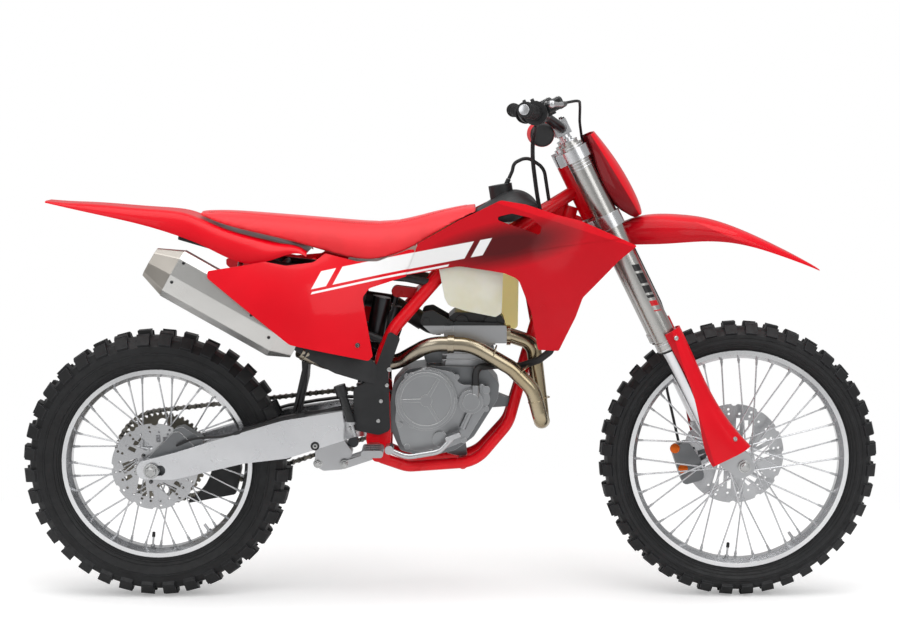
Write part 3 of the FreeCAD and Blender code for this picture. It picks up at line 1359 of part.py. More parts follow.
def hoses():
    """Coolant hose on the right, and the tank's breather to the steering head."""
    coolant = tube(
        [Vector(995.4, -120, 674.1), Vector(1001.5, -120, 649.5), Vector(970, -100, 622),
         Vector(925, -68, 602), Vector(868, -66, 604), Vector(811, -118, 606), Vector(811, -118, 560.9)],
        9, [0, 20, 30, 30, 30, 22, 0])
    breather = tube(
        [Vector(896.15, 0, 1070.4), Vector(905, 0, 1090), Vector(909, 0, 1110), Vector(942, 0, 1126),
         Vector(985, 0, 1098), Vector(1000, 0, 1003.5)], 4.5, [0, 30, 24, 36, 40, 0])
    return [coolant, breather]


def chain_guide():
    """A block under the left arm that the chain runs through."""
    block = slab([(52, 222), (110, 300), (150, 352), (200, 352), (204, 312), (190, 248)], [8, 20, 2, 2, 8, 10],
                 CHAIN_Y - 18, CHAIN_Y + 18)
    path = chain_band(CHAIN_PLATE + 3, CHAIN_Y - CHAIN_HALF_WIDTH - 3, CHAIN_Y + CHAIN_HALF_WIDTH + 3)
    room = cross_bar(0, REAR_AXLE_Z, 132, 40, 110)
    arm = mirrored(swingarm_solid())
    return [largest(block.cut([path, room, arm]))]


def rear_caliper():
    """A caliper over the rear disc's edge, on a carrier at the axle."""
    z = REAR_AXLE_Z
    body = slab([(56, z + 62), (112, z + 40), (126, z + 74), (74, z + 106), (48, z + 98)], 10, -88, -46)
    body = body.cut(cross_slot(0, z, REAR_DISC_RADIUS + 4, REAR_DISC_Y, DISC_THICK / 2 + 3))
    carrier = slab([(-20, z - 20), (24, z - 20), (116, z + 44), (60, z + 100), (-20, z + 20)], 16, -90.2, -84)
    carrier = carrier.cut(cross_bar(0, z, 18 + SEAT_GAP, -100, -80))
    return [fuse([body, carrier])]


def build():
    """Write every node."""
    front_wheel()
    rear_wheel()
    chain()
    main_frame = frame()
    write("frame", [main_frame])
    write("swingarm", [swingarm_solid()])
    write("rear_axle", rear_axle_solids())
    write("triple_clamps", triple_clamps())
    write("fork_outer", fork_outer_solids())
    write("fork_inner", fork_inner_solids())
    write("fork_feet", fork_feet())
    write("fork_guards", fork_guards())
    write("handlebar", handlebar())
    write("grips", grips())
    write("hand_controls", hand_controls())
    write("bar_pad", bar_pad())
    write("number_plate", number_plate())
    write("front_fender", front_fender())
    write("front_caliper", front_caliper())
    write("front_brake_hose", front_brake_hose())
    write("shrouds", both(shroud_solid()))
    write("side_panels", both(side_panel_solid()))
    write("seat", [seat_solid()])
    write("rear_fender", [rear_fender_solid()])
    tank, cover = tank_solid()
    write("fuel_tank", [tank])
    write("tank_cover", [cover])
    engine()
    write("exhaust_header", [header_solid()])
    can, cap = silencer_solids()
    write("silencer", [can])
    write("silencer_cap", [cap])
    write("subframe", subframe())
    write("airbox", airbox())
    write("frame_guards", frame_guards())
    write("foot_pegs", foot_pegs())
    write("foot_controls", foot_controls())
    write("shock", shock())
    write("linkage", linkage())
    write("radiators", radiators())
    write("hoses", hoses())
    write("chain_guide", chain_guide())
    write("rear_caliper", rear_caliper())


build()
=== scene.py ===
# %% [markdown]
# A motocross bike is mostly thin moulded plastic over bare metal. The measured solids give every
# piece its true place, so this script loads them first and then dresses them: each finish is built
# from nodes, and the soft or sculpted pieces are modelled again with more detail than the solids have.

# %% Load the measured model
import math
import bpy
from mathutils import Matrix, Vector
from mathutils.bvhtree import BVHTree


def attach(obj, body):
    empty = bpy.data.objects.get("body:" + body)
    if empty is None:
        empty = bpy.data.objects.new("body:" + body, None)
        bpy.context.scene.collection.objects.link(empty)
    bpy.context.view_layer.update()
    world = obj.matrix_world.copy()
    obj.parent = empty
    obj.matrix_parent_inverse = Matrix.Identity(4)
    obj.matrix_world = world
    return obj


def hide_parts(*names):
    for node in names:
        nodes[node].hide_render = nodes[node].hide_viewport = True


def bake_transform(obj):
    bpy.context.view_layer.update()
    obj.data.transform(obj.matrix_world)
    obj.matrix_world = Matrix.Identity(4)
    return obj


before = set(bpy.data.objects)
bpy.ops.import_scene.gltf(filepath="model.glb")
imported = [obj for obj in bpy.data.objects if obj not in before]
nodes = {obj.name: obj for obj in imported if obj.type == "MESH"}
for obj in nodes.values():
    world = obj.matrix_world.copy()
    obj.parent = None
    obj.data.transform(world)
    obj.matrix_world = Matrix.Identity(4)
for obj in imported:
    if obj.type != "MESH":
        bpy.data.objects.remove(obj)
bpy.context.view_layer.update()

print("nodes:", len(nodes))

# %% [markdown]
# The drawing measures from the rear axle on the ground, and the row measures from the rider's seat
# point. One function turns drawing millimetres into metres of the row, so that sizes can be read off
# a real bike with a tape. The fork and the bars have a slanted frame of their own.

# %% Drawing units
SEAT_X = 608.0
SEAT_HEIGHT = 960.0
MM = 0.001
SIDES = (-1, 1)
FRONT_AXLE = (1485.0, 355.0)
REAR_AXLE = (0.0, 345.0)
AXLE_OFFSET = 36.0
LEG_Y = 98
FORK_RAKE = math.radians(26.4)
FORK_X = FRONT_AXLE[0] - AXLE_OFFSET * math.cos(FORK_RAKE)
FORK_Z = FRONT_AXLE[1] - AXLE_OFFSET * math.sin(FORK_RAKE)


def place(x, y, z):
    """A point given in millimetres from the rear axle's ground point, in metres of the row."""
    return Vector(((x - SEAT_X) * MM, y * MM, (z - SEAT_HEIGHT) * MM))


def place_on_fork(x, y, z):
    """A point of the fork: x forward square to the legs, z up along them, from the axle's level."""
    along, lean = math.cos(FORK_RAKE), math.sin(FORK_RAKE)
    return place(FORK_X + x * along - z * lean, y, FORK_Z + x * lean + z * along)


def around(centre, radius, degrees):
    """The x and z of a point on a circle about a centre, in the side view."""
    turn = math.radians(degrees)
    return centre[0] + radius * math.cos(turn), centre[1] + radius * math.sin(turn)


FORK_UP = (place_on_fork(0, 0, 1) - place_on_fork(0, 0, 0)).normalized()
FORK_AHEAD = (place_on_fork(1, 0, 0) - place_on_fork(0, 0, 0)).normalized()
print("ground plane at", round(place(0, 0, 0).z, 3))

# %% [markdown]
# A finish is a Principled shader with a few textures around it. The helpers below keep that short:
# one turns a paint shop's hex colour into Blender's linear values, one adds a node with its settings,
# and one starts a material. A field is a value that varies over the surface, and plain arithmetic on
# it adds Math nodes. Patterns use object coordinates, which are real metres here, so a grain of
# 0.3 mm is written as such and keeps its size on every piece.

# %% Helpers for finishes
def hex_colour(code):
    """An sRGB hex colour as linear red, green, blue and full alpha."""
    channels = [int(code[i:i + 2], 16) / 255 for i in (0, 2, 4)]
    linear = [c / 12.92 if c <= 0.04045 else ((c + 0.055) / 1.055) ** 2.4 for c in channels]
    return (*linear, 1.0)


class Field:
    """A value over the surface, held as the output socket of a shader node."""

    def __init__(self, socket):
        self.socket = socket
        self.tree = socket.id_data

    def step(self, operation, *others):
        node = self.tree.nodes.new("ShaderNodeMath")
        node.operation = operation
        for entry, value in zip(node.inputs, (self, *others)):
            feed(entry, value)
        return Field(node.outputs[0])

    def __add__(self, other):
        return self.step("ADD", other)

    def __sub__(self, other):
        return self.step("SUBTRACT", other)

    def __mul__(self, other):
        return self.step("MULTIPLY", other)

    def __truediv__(self, other):
        return self.step("DIVIDE", other)

    def __abs__(self):
        return self.step("ABSOLUTE")


def feed(entry, value):
    """Give an input socket a field, a hex colour or a plain value."""
    if isinstance(value, Field):
        value.tree.links.new(value.socket, entry)
    else:
        entry.default_value = hex_colour(value) if isinstance(value, str) else value


def add_node(tree, kind, settings=None, links=None, out=0):
    """A shader node with its settings and the fields that feed it; gives one output as a field."""
    node = tree.nodes.new(kind)
    for name, value in (settings or {}).items():
        if hasattr(node, name):
            setattr(node, name, value)
        else:
            node.inputs[name].default_value = value
    for name, source in (links or {}).items():
        feed(node.inputs[name], source)
    return Field(node.outputs[out])


def start_material(name, colour, roughness, metallic=0.0, **sockets):
    """A material and its Principled shader, with the plain values set."""
    material = bpy.data.materials.new(name)
    material.use_nodes = True
    shader = material.node_tree.nodes["Principled BSDF"]
    feed(shader.inputs["Base Color"], colour)
    shader.inputs["Roughness"].default_value = roughness
    shader.inputs["Metallic"].default_value = metallic
    for label, value in sockets.items():
        shader.inputs[label.replace("_", " ")].default_value = value
    return material, material.node_tree, shader


def object_coordinates(tree):
    """The piece's own coordinates, in metres."""
    return add_node(tree, "ShaderNodeTexCoord", out="Object")


def noise(tree, size_mm, detail=2.0, stretch=None):
    """Soft noise whose features are about the given size in millimetres."""
    source = object_coordinates(tree)
    if stretch:
        source = add_node(tree, "ShaderNodeMapping", {"Scale": stretch}, {"Vector": source})
    return add_node(tree, "ShaderNodeTexNoise", {"Scale": 1 / (size_mm * MM), "Detail": detail},
                    {"Vector": source}, "Fac")


def ramp(source, start, end, low=0.0, high=1.0):
    """A field that goes from low to high while its source goes from start to end."""
    return add_node(source.tree, "ShaderNodeMapRange",
                    {"From Min": start, "From Max": end, "To Min": low, "To Max": high}, {"Value": source},
                    "Result")


def spread(source, low=0.0, high=1.0):
    """Noise in the middle range, stretched to the two given values."""
    return ramp(source, 0.35, 0.65, low, high)


def band(value, low, high, soft=0.6):
    """One inside a range and nothing outside it, with a soft edge in the value's own unit."""
    return ramp(value, low - soft, low + soft) * ramp(value, high + soft, high - soft)


def rounded(tree, radius_mm):
    """The normal as if the edges were rounded."""
    return add_node(tree, "ShaderNodeBevel", {"samples": 6, "Radius": radius_mm * MM}, out="Normal")


def edges(tree, radius_mm):
    """One on the sharp edges of a piece and nothing on its flats."""
    flat = add_node(tree, "ShaderNodeNewGeometry", out="Normal")
    same = add_node(tree, "ShaderNodeVectorMath", {"operation": "DOT_PRODUCT"},
                    {0: rounded(tree, radius_mm), 1: flat}, "Value")
    return ramp(same, 0.995, 0.88)


def bump(shader, height, depth_mm, edge_mm=0.0):
    """Raise the surface by the height in millimetres, and round its edges to the eye if asked to."""
    tree = shader.id_data
    under = {"Normal": rounded(tree, edge_mm)} if edge_mm else {}
    feed(shader.inputs["Normal"], add_node(
        tree, "ShaderNodeBump", {"Strength": 1.0, "Distance": depth_mm * MM}, {"Height": height, **under},
        "Normal"))


def drawing_axes(tree):
    """The three coordinates of the drawing in millimetres."""
    split = add_node(tree, "ShaderNodeSeparateXYZ", {}, {"Vector": object_coordinates(tree)}).socket.node
    return [Field(out) / MM + shift for out, shift in zip(split.outputs, (SEAT_X, 0.0, SEAT_HEIGHT))]


def blend_colour(factor, first, second):
    """Mix two colours, each a hex code or a field."""
    return add_node(factor.tree, "ShaderNodeMix", {"data_type": "RGBA"}, {0: factor, 6: first, 7: second}, 2)


def cover(material, mask, colour):
    """Paint or film over bare metal inside a mask; that part is no metal to the light."""
    shader = material.node_tree.nodes["Principled BSDF"]
    entry, metallic = shader.inputs["Base Color"], shader.inputs["Metallic"]
    feed(entry, blend_colour(mask, Field(entry.links[0].from_socket), colour))
    bare = Field(metallic.links[0].from_socket) if metallic.is_linked else None
    feed(metallic, bare - mask if bare else mask * -1.0 + 1.0)


# %% [markdown]
# The bodywork is injection-moulded in one red. It is glossy with a slight orange-peel ripple from the
# mould, and the gloss varies a little where it has been handled. A wide, shallow bump gives the ripple;
# a finer noise varies the roughness. Some pieces have a pressed fold: behind its line the surface leans
# away, which the bump tilts, and a deeper tone painted there stands for the shade. The side panels and
# shrouds also carry film graphics: a plain white flash that runs up and forward over both. A dark fade
# on the shroud at the tank is painted shade. Because every piece shares the drawing's coordinates, one
# set of node arithmetic keeps the flash in line across the gap.

# %% Red moulded plastic
FLASH_SLOPE = 0.19
FLASH_LEAN = 0.55
FLASH_LEVEL = (730, 768)
FLASH_RUNS = ((10, 300), (-36, -4), (314, 340))
LINE_LEVEL = (718, 723)
LINE_RUN = (-30, 270)
SHADE_FADE_X, SHADE_FADE_LEVEL = (880.0, 210.0), (745.0, 62.0)


def beyond_fold(tree, lines):
    """How far a point is in front of the fold lines, in millimetres; it is negative behind them."""
    x, _, z = drawing_axes(tree)
    beyond = None
    for x_a, z_a, x_b, z_b in lines:
        length = math.hypot(x_b - x_a, z_b - z_a)
        reach = (x - x_a) * ((z_a - z_b) / length) + (z - z_a) * ((x_b - x_a) / length)
        beyond = beyond.step("MAXIMUM", reach) if beyond else reach
    return beyond


def film_flash_and_shade(colour):
    """A white flash with slanted cuts, and a dark fade of painted shade on the shroud."""
    x, _, z = drawing_axes(colour.tree)
    level, run = z - x * FLASH_SLOPE, x - z * FLASH_LEAN
    across, upward = ((value - middle) / size
                      for value, (middle, size) in ((x, SHADE_FADE_X), (level, SHADE_FADE_LEVEL)))
    # painted shade: the shroud darkens towards an oval by the tank
    shade_fade = ramp(across * across + upward * upward, 1.0, 0.1, 0.0, 0.86)
    marks = band(level, *LINE_LEVEL) * band(run, *LINE_RUN)
    for stretch in FLASH_RUNS:
        marks = marks + band(level, *FLASH_LEVEL) * band(run, *stretch)
    return blend_colour(marks.step("MINIMUM", 1.0), blend_colour(shade_fade, colour, "17080A"), "F2F2F2")


def moulded_red(name, film_and_shade=False, folds=(), slope=0.0, fold_shade_colour="B00016", depth=0.6):
    """Red moulding, with film or with folds: their lines, their lean, and the tone of painted shade behind
    them.
    """
    material, tree, shader = start_material(
        name, "E2001A", 0.34, Specular_IOR_Level=0.16, Coat_Weight=0.22, Coat_Roughness=0.06)
    feed(shader.inputs["Roughness"], spread(noise(tree, 60), 0.3, 0.38))
    colour = blend_colour(spread(noise(tree, 160)), "D80017", "E2001A")
    height = noise(tree, 9, 1) * 0.02
    if folds:
        beyond = beyond_fold(tree, folds)
        height = height + beyond.step("MINIMUM", 0.0) * slope
        # painted shade: behind the fold lines the red darkens towards the deeper tone, as far as depth says
        colour = blend_colour(ramp(beyond, 1.5, -1.5, 0.0, depth), colour, fold_shade_colour)
    if film_and_shade:
        colour = film_flash_and_shade(colour)
    feed(shader.inputs["Base Color"], colour)
    bump(shader, height, 1.0)
    return material


# %% [markdown]
# Black guards and covers come out of a spark-eroded mould, so they have a fine leathery grain and
# look half-matt. Cells of a Voronoi texture, under a millimetre across, make that grain. The fuel
# tank is roto-moulded in natural polythene: milky, with a waxy surface, and subsurface scattering
# lets light into it. The far lobe is seen in the bike's own shade, where the thin wall passes light
# on from behind; a yellower tone and a faint glow stand for that.

# %% Black and natural plastics
GRAIN = 0.9
LOBE_LIGHT_GLOW = 0.25


def black_plastic():
    material, tree, shader = start_material("black_grained_moulding", "17181A", 0.5)
    grain = add_node(tree, "ShaderNodeTexVoronoi", {"Scale": 1 / (GRAIN * MM)},
                     {"Vector": object_coordinates(tree)}, "Distance")
    bump(shader, grain, 0.05, 1.0)
    feed(shader.inputs["Roughness"], spread(noise(tree, 20, 3), 0.42, 0.58))
    feed(shader.inputs["Base Color"], blend_colour(spread(noise(tree, 60)), "141517", "1D1E20"))
    return material


def tank_plastic():
    material, tree, shader = start_material(
        "natural_rotomoulded_polythene", "D6D3BE", 0.42, Subsurface_Weight=0.5, Subsurface_Scale=0.03)
    shader.inputs["Subsurface Radius"].default_value = (1.0, 0.7, 0.4)
    _, y, _ = drawing_axes(tree)
    # painted light: the far lobe is made lighter, yellower and glowing, for light passing through it from
    # behind
    far_lobe_lit = band(y, 0.0, 300.0, 20.0)
    milky = blend_colour(spread(noise(tree, 70, 3)), "D4D1BC", "DEDCCF")
    feed(shader.inputs["Base Color"], blend_colour(far_lobe_lit, milky, "F6EFB4"))
    feed(shader.inputs["Emission Color"], "F2E99A")
    feed(shader.inputs["Emission Strength"], far_lobe_lit * LOBE_LIGHT_GLOW)
    bump(shader, noise(tree, 4), 0.03)
    return material


# %% [markdown]
# The saddle's cover is a coated cloth with a fine gripping pattern, so that the rider doesn't slide.
# Its dots are 1.6 mm apart. The coating is dull, and its nap catches a little light at the edges,
# which sheen gives. The bar pad is foam in a red knitted sleeve with black ends. Steel tubes are
# powder coated: a thick, even red skin with a soft orange peel.

# %% Saddle cloth, pad sleeve and powder coat
DOT_PITCH = 1.6


def seat_cloth():
    material, tree, shader = start_material(
        "red_gripper_cloth", "E20016", 0.5, Sheen_Weight=0.35, Sheen_Roughness=0.4)
    dots = add_node(tree, "ShaderNodeTexVoronoi", {"Scale": 1 / (DOT_PITCH * MM), "Randomness": 0.15},
                    {"Vector": object_coordinates(tree)}, "Distance")
    bump(shader, dots, 0.18)
    feed(shader.inputs["Base Color"], blend_colour(spread(noise(tree, 90)), "D80014", "E8041C"))
    return material


def pad_cover():
    """Red sleeve with black ends, told apart by the distance from the middle plane."""
    material, tree, shader = start_material("knitted_pad_sleeve", "C90012", 0.6)
    _, y, _ = drawing_axes(tree)
    red = blend_colour(spread(noise(tree, 40)), "D80014", "E8041C")
    feed(shader.inputs["Base Color"], blend_colour(band(abs(y), 93.0, 130.0, 0.8), red, "1E1E1F"))
    bump(shader, noise(tree, 1.2), 0.12, 0.4)
    return material


def sewing_thread():
    material, tree, shader = start_material("polyester_thread", "7E0A12", 0.7)
    bump(shader, noise(tree, 0.5), 0.05, 0.3)
    return material


def frame_paint():
    material, tree, shader = start_material(
        "red_powder_coat", "E20014", 0.3, Specular_IOR_Level=0.25, Coat_Weight=0.2)
    feed(shader.inputs["Base Color"], blend_colour(spread(noise(tree, 50)), "D80012", "E80418"))
    feed(shader.inputs["Roughness"], spread(noise(tree, 50), 0.26, 0.34))
    bump(shader, noise(tree, 5, 1), 0.015)
    return material


# %% [markdown]
# Bare metals differ by how they were made: a casting is grainy and dull, a machined face has fine
# turning lines, sheet is brushed one way, and a polished rim is nearly a mirror. One function sets
# the base, and each metal adds its own pattern and scale. The exhaust header is thin bare pipe that
# the heat has turned from silver to straw and gold, in soft bands a few centimetres long.

# %% Bare metals
def cast_metal(name, dark, light, grain_mm, depth_mm, rough_low, rough_high, wear_and_highlight="D8D8D8"):
    """Cast or forged metal: a fine skin, nearly even in colour, with brighter edges that are partly wear and
    partly a painted highlight.
    """
    material, tree, shader = start_material(name, light, 0.45, 1.0)
    random_tone = blend_colour(spread(noise(tree, 120), 0.25, 0.75), dark, light)
    # painted highlight: the sharp edges are brighter, partly for wear and partly for the light they catch
    feed(shader.inputs["Base Color"], blend_colour(edges(tree, 1.2), random_tone, wear_and_highlight))
    feed(shader.inputs["Roughness"], spread(noise(tree, 40), rough_low, rough_high))
    bump(shader, noise(tree, grain_mm), depth_mm, 1.2)
    return material


def brushed_metal(name, dark, light, rough_low, rough_high, stretch, line_mm=0.35, depth_mm=0.01):
    """Sheet or bar with fine scratches drawn out along one direction."""
    material, tree, shader = start_material(name, light, 0.3, 1.0)
    lines = noise(tree, line_mm, 2, stretch)
    feed(shader.inputs["Base Color"], blend_colour(spread(noise(tree, 150), 0.2, 0.8), dark, light))
    feed(shader.inputs["Roughness"], spread(lines, rough_low, rough_high))
    bump(shader, lines, depth_mm, 0.8)
    return material


def heat_tinted_pipe():
    material, tree, shader = start_material("heat_tinted_bare_pipe", "A99C85", 0.22, 1.0)
    x, _, _ = drawing_axes(tree)
    tint = blend_colour(ramp(x, 700.0, 1000.0), "9C9486", "AE9E7C")
    feed(shader.inputs["Base Color"], blend_colour(spread(noise(tree, 90), 0.0, 0.5), tint, "B9AE98"))
    feed(shader.inputs["Roughness"], spread(noise(tree, 30), 0.19, 0.25))
    bump(shader, noise(tree, 1.2), 0.004)
    return material


# %% [markdown]
# Some pieces change finish along their length. The cylinder head is bare metal below and has a black
# cover on top. Levers and pedals are bare, with black housings. The fork's outer tubes carry film
# blocks on their outer sides, just above the seals. All are masks made from the drawing's
# coordinates, so no picture is needed.

# %% Pieces with two finishes
COVER_Z = 705.0
FILM_BLACK, FILM_RED, CONTROL_BLACK = "141415", "C40013", "1C1D1E"
FILM_BLOCKS = (
    (FILM_BLACK, 566, 584), (FILM_BLACK, 532, 560), (FILM_BLACK, 506, 526), (FILM_BLACK, 492, 500),
    (FILM_RED, 470, 484), (FILM_RED, 455, 458),
)


def covered_head():
    material = cast_metal("cylinder_head_with_black_cover", "A6A7A9", "B2B3B5", 0.8, 0.015, 0.34, 0.4)
    _, _, z = drawing_axes(material.node_tree)
    cover(material, band(z, COVER_Z, 900.0, 0.4), "1A1B1C")
    return material


def dark_controls(name, axis, edge_low, edge_high, along_x):
    """Controls that are black on one stretch and bare metal on the rest."""
    material = cast_metal(name, "B4B5B7", "C8C9CB", 0.5, 0.01, 0.24, 0.34)
    axes = drawing_axes(material.node_tree)
    cover(material, band(abs(axes[axis]), edge_low, edge_high) * band(axes[0], *along_x), CONTROL_BLACK)
    return material


def film_on_fork():
    material = cast_metal("grey_anodised_tube_with_film", "B0AFAC", "BCBBB8", 0.35, 0.004, 0.26, 0.3)
    x, y, z = drawing_axes(material.node_tree)
    right, up = x - FORK_X, z - FORK_Z
    along = up * math.cos(FORK_RAKE) - right * math.sin(FORK_RAKE)
    ahead = right * math.cos(FORK_RAKE) + up * math.sin(FORK_RAKE)
    outer = band(abs(y), 96.0, 200.0) * band(ahead, 3.0, 21.0)
    for colour, low, high in FILM_BLOCKS:
        cover(material, band(along + ahead * 0.35, low, high) * outer, colour)
    return material


# %% [markdown]
# Tyre rubber is nearly black and quite dull, with a painted highlight that lightens its sharp edges a
# little, and thin raised rings on both side walls. Other rubber pieces, such as grips and hoses, are
# smoother.

# %% Rubber
WALL_RINGS = ((FRONT_AXLE, (288, 293, 300, 314)), (REAR_AXLE, (251, 256, 264, 284, 288)))


def tyre_rubber():
    material, tree, shader = start_material("knobbly_tyre_compound", "141416", 0.5, Specular_IOR_Level=0.42)
    rubber = blend_colour(spread(noise(tree, 40, 3)), "0A0A0C", "131416")
    # painted highlight: the rubber is lighter on its sharp edges
    feed(shader.inputs["Base Color"], blend_colour(edges(tree, 2.0), rubber, "34353A"))
    feed(shader.inputs["Roughness"], spread(noise(tree, 12, 3), 0.42, 0.58))
    x, _, z = drawing_axes(tree)
    height = noise(tree, 1.2) * 0.1
    for (axle_x, axle_z), radii in WALL_RINGS:
        across, upward = x - axle_x, z - axle_z
        reach = (across * across + upward * upward).step("SQRT")
        for radius in radii:
            height = height + band(reach, radius - 0.8, radius + 0.8, 0.5)
    bump(shader, height, 1.0, 2.0)
    return material


def smooth_rubber():
    material, tree, shader = start_material("moulded_rubber", "141414", 0.55)
    feed(shader.inputs["Roughness"], spread(noise(tree, 10, 3), 0.45, 0.62))
    feed(shader.inputs["Base Color"], blend_colour(spread(noise(tree, 40)), "101011", "1A1A1C"))
    bump(shader, noise(tree, 0.7), 0.03)
    return material


# %% [markdown]
# Every node of the solid model gets one of these finishes.

# %% Dress the measured solids
finishes = {
    "red": moulded_red("red_injection_moulded_gloss"),
    "film_and_shade_red": moulded_red("red_moulding_with_film_and_shade", True),
    # The deeper tones behind the folds are painted shade.
    "shroud_fold_film_and_shade": moulded_red("red_shroud_with_fold_film_and_shade", True,
                                 [(869, 1014, 1189, 915)], 0.3, depth=0.4),
    "fender_fold_shade": moulded_red("red_fender_with_fold_shade", False,
                                 [(1216, 980, 1363, 964), (1363, 964, 1657, 838)], 0.5, depth=0.25),
    # painted shade: the plate's wing behind its fold is painted dark red for the shade on its inner side
    "plate_fold_shade": moulded_red("red_plate_with_fold_shade", False, [(1128, 1132, 1198, 1020)], 0.6,
                                "6A0610", 0.85),
    "guard_fold_shade": moulded_red("red_guard_with_fold_shade", False, [(1306, 671, 1384, 435)], 0.45),
    "black": black_plastic(),
    "tank": tank_plastic(),
    "cloth": seat_cloth(),
    "pad": pad_cover(),
    "thread": sewing_thread(),
    "paint": frame_paint(),
    "tyre": tyre_rubber(),
    "rubber": smooth_rubber(),
    "pipe": heat_tinted_pipe(),
    "cast": cast_metal("die_cast_engine_alloy", "6E7072", "7C7E80", 0.8, 0.02, 0.34, 0.4),
    "light_cast": cast_metal("bead_blasted_alloy", "AEAFB1", "BABBBD", 0.4, 0.01, 0.3, 0.36),
    "cover_cast": cast_metal("smooth_die_cast_cover", "949597", "A0A2A4", 0.5, 0.012, 0.28, 0.34),
    "forged": cast_metal("anodised_forged_alloy", "CDCED1", "D8D9DB", 0.5, 0.004, 0.24, 0.28, "D4D5D7"),
    "rim": brushed_metal("polished_rim_alloy", "D2D3D5", "E9EAEB", 0.12, 0.26, (1, 1, 1), 2.0, 0.004),
    "sheet": brushed_metal("brushed_silencer_sheet", "BEBDBA", "D8D7D4", 0.22, 0.36, (1, 14, 14)),
    "end": cast_metal("satin_end_cap", "9D9891", "A9A49D", 0.5, 0.008, 0.3, 0.36),
    "steel": brushed_metal("ground_steel", "A8A9AB", "C4C5C7", 0.22, 0.36, (1, 1, 1), 0.8, 0.01),
    "chrome": brushed_metal("hard_chrome", "D9DADC", "EDEEF0", 0.05, 0.1, (1, 1, 0.05), 0.5, 0.002),
    "anodised": film_on_fork(),
    "head": covered_head(),
    "hand": dark_controls("forged_levers_with_black_housings", 1, 180.0, 286.0, (800.0, 1052.0)),
    "foot": dark_controls("forged_pedals_with_black_cylinder", 2, 470.0, 600.0, (440.0, 540.0)),
    "bar": cast_metal("dark_anodised_bar", "3A3B3D", "4A4B4D", 0.35, 0.008, 0.28, 0.36),
    "chain": cast_metal("oiled_chain_steel", "55524B", "8B867A", 0.5, 0.03, 0.3, 0.5),
    "zinc": cast_metal("zinc_plated_fastener", "A5A6A6", "C6C7C6", 0.4, 0.01, 0.24, 0.36),
    "dark_steel": cast_metal("black_oxide_screw", "2B2B2C", "3F3F40", 0.4, 0.01, 0.32, 0.42),
    "orange": cast_metal("orange_anodised_alloy", "C4571A", "D8682A", 0.3, 0.008, 0.26, 0.34),
}
BY_FINISH = {
    "red": "rear_fender",
    "guard_fold_shade": "fork_guards",
    "plate_fold_shade": "number_plate",
    "fender_fold_shade": "front_fender",
    "film_and_shade_red": "side_panels",
    "shroud_fold_film_and_shade": "shrouds",
    "black": "tank_cover airbox frame_guards chain_guide radiators subframe",
    "tank": "fuel_tank",
    "cloth": "seat bar_pad",
    "paint": "frame",
    "tyre": "front_tyre rear_tyre",
    "rubber": "grips front_brake_hose hoses",
    "pipe": "exhaust_header",
    "cast": "crankcase front_caliper rear_caliper",
    "light_cast": "fork_feet linkage",
    "cover_cast": "engine_covers",
    "hand": "hand_controls",
    "foot": "foot_controls",
    "head": "cylinder",
    "forged": "swingarm triple_clamps front_hub rear_hub",
    "rim": "front_rim rear_rim",
    "sheet": "silencer",
    "end": "silencer_cap",
    "steel": "front_disc rear_disc rear_axle foot_pegs",
    "chrome": "fork_inner",
    "anodised": "fork_outer",
    "bar": "handlebar shock",
    "chain": "chain rear_sprocket",
}


def dress(item, material):
    """Give a piece one material in place of all it has."""
    item.data.materials.clear()
    item.data.materials.append(material)


dressed = [(name, finish) for finish, names in BY_FINISH.items() for name in names.split()]
for name, finish in dressed:
    dress(nodes[name], finishes[finish])
print("undressed nodes:", sorted(set(nodes) - {name for name, _ in dressed}))

# %% [markdown]
# Small parts are built once at the origin and copied to their places, and the copies of each kind are
# joined into one mesh, so the file stays light. First come the helpers: they pick objects, move a
# mesh, finish a new piece, scatter a template, and find the skin of a piece so that a screw stands
# on the surface instead of in the air.

# %% Helpers for small parts
ACROSS = Matrix.Rotation(math.pi / 2, 4, "X")
made = {}
skins = {}


def pick(*items):
    """Select only these objects and make the first one active."""
    bpy.ops.object.select_all(action="DESELECT")
    for item in items:
        item.select_set(True)
    if items:
        bpy.context.view_layer.objects.active = items[0]


def show(item):
    bpy.context.scene.collection.objects.link(item)
    return item


def smooth(item, degrees):
    pick(item)
    bpy.ops.object.shade_smooth_by_angle(angle=math.radians(degrees))
    return item


def moved(item, *matrices):
    """The same object with its mesh moved by each matrix in turn."""
    for matrix in matrices:
        item.data.transform(matrix)
    return item


def shifted(x, y, z):
    return Matrix.Translation((x * MM, y * MM, z * MM))


def in_mesh(item):
    """Move the object's place into its mesh, so that the object stands at the origin."""
    pick(item)
    bpy.ops.object.transform_apply(location=True, rotation=True, scale=True)
    return item


def rod(radius, length, sides=16, tip=None):
    """A round bar along its own z, from the origin up; a cone if the tip has another radius."""
    pick()
    bpy.ops.mesh.primitive_cone_add(
        vertices=sides, radius1=radius * MM, radius2=(radius if tip is None else tip) * MM,
        depth=length * MM, location=(0, 0, length * MM / 2))
    return in_mesh(bpy.context.object)


def block(x, y, z, at=(0, 0, 0)):
    """A rectangular block with sides in millimetres about a point."""
    pick()
    bpy.ops.mesh.primitive_cube_add(size=1.0, location=[v * MM for v in at])
    item = bpy.context.object
    item.scale = (x * MM, y * MM, z * MM)
    return in_mesh(item)


def soften(item, width, segments=2, angle=40):
    """Round the sharp edges for real, and shade by angle."""
    pick(item)
    modifier = item.modifiers.new("edge", "BEVEL")
    modifier.width = width * MM
    modifier.segments = segments
    modifier.limit_method = "ANGLE"
    modifier.angle_limit = math.radians(angle)
    bpy.ops.object.modifier_apply(modifier="edge")
    return smooth(item, angle)


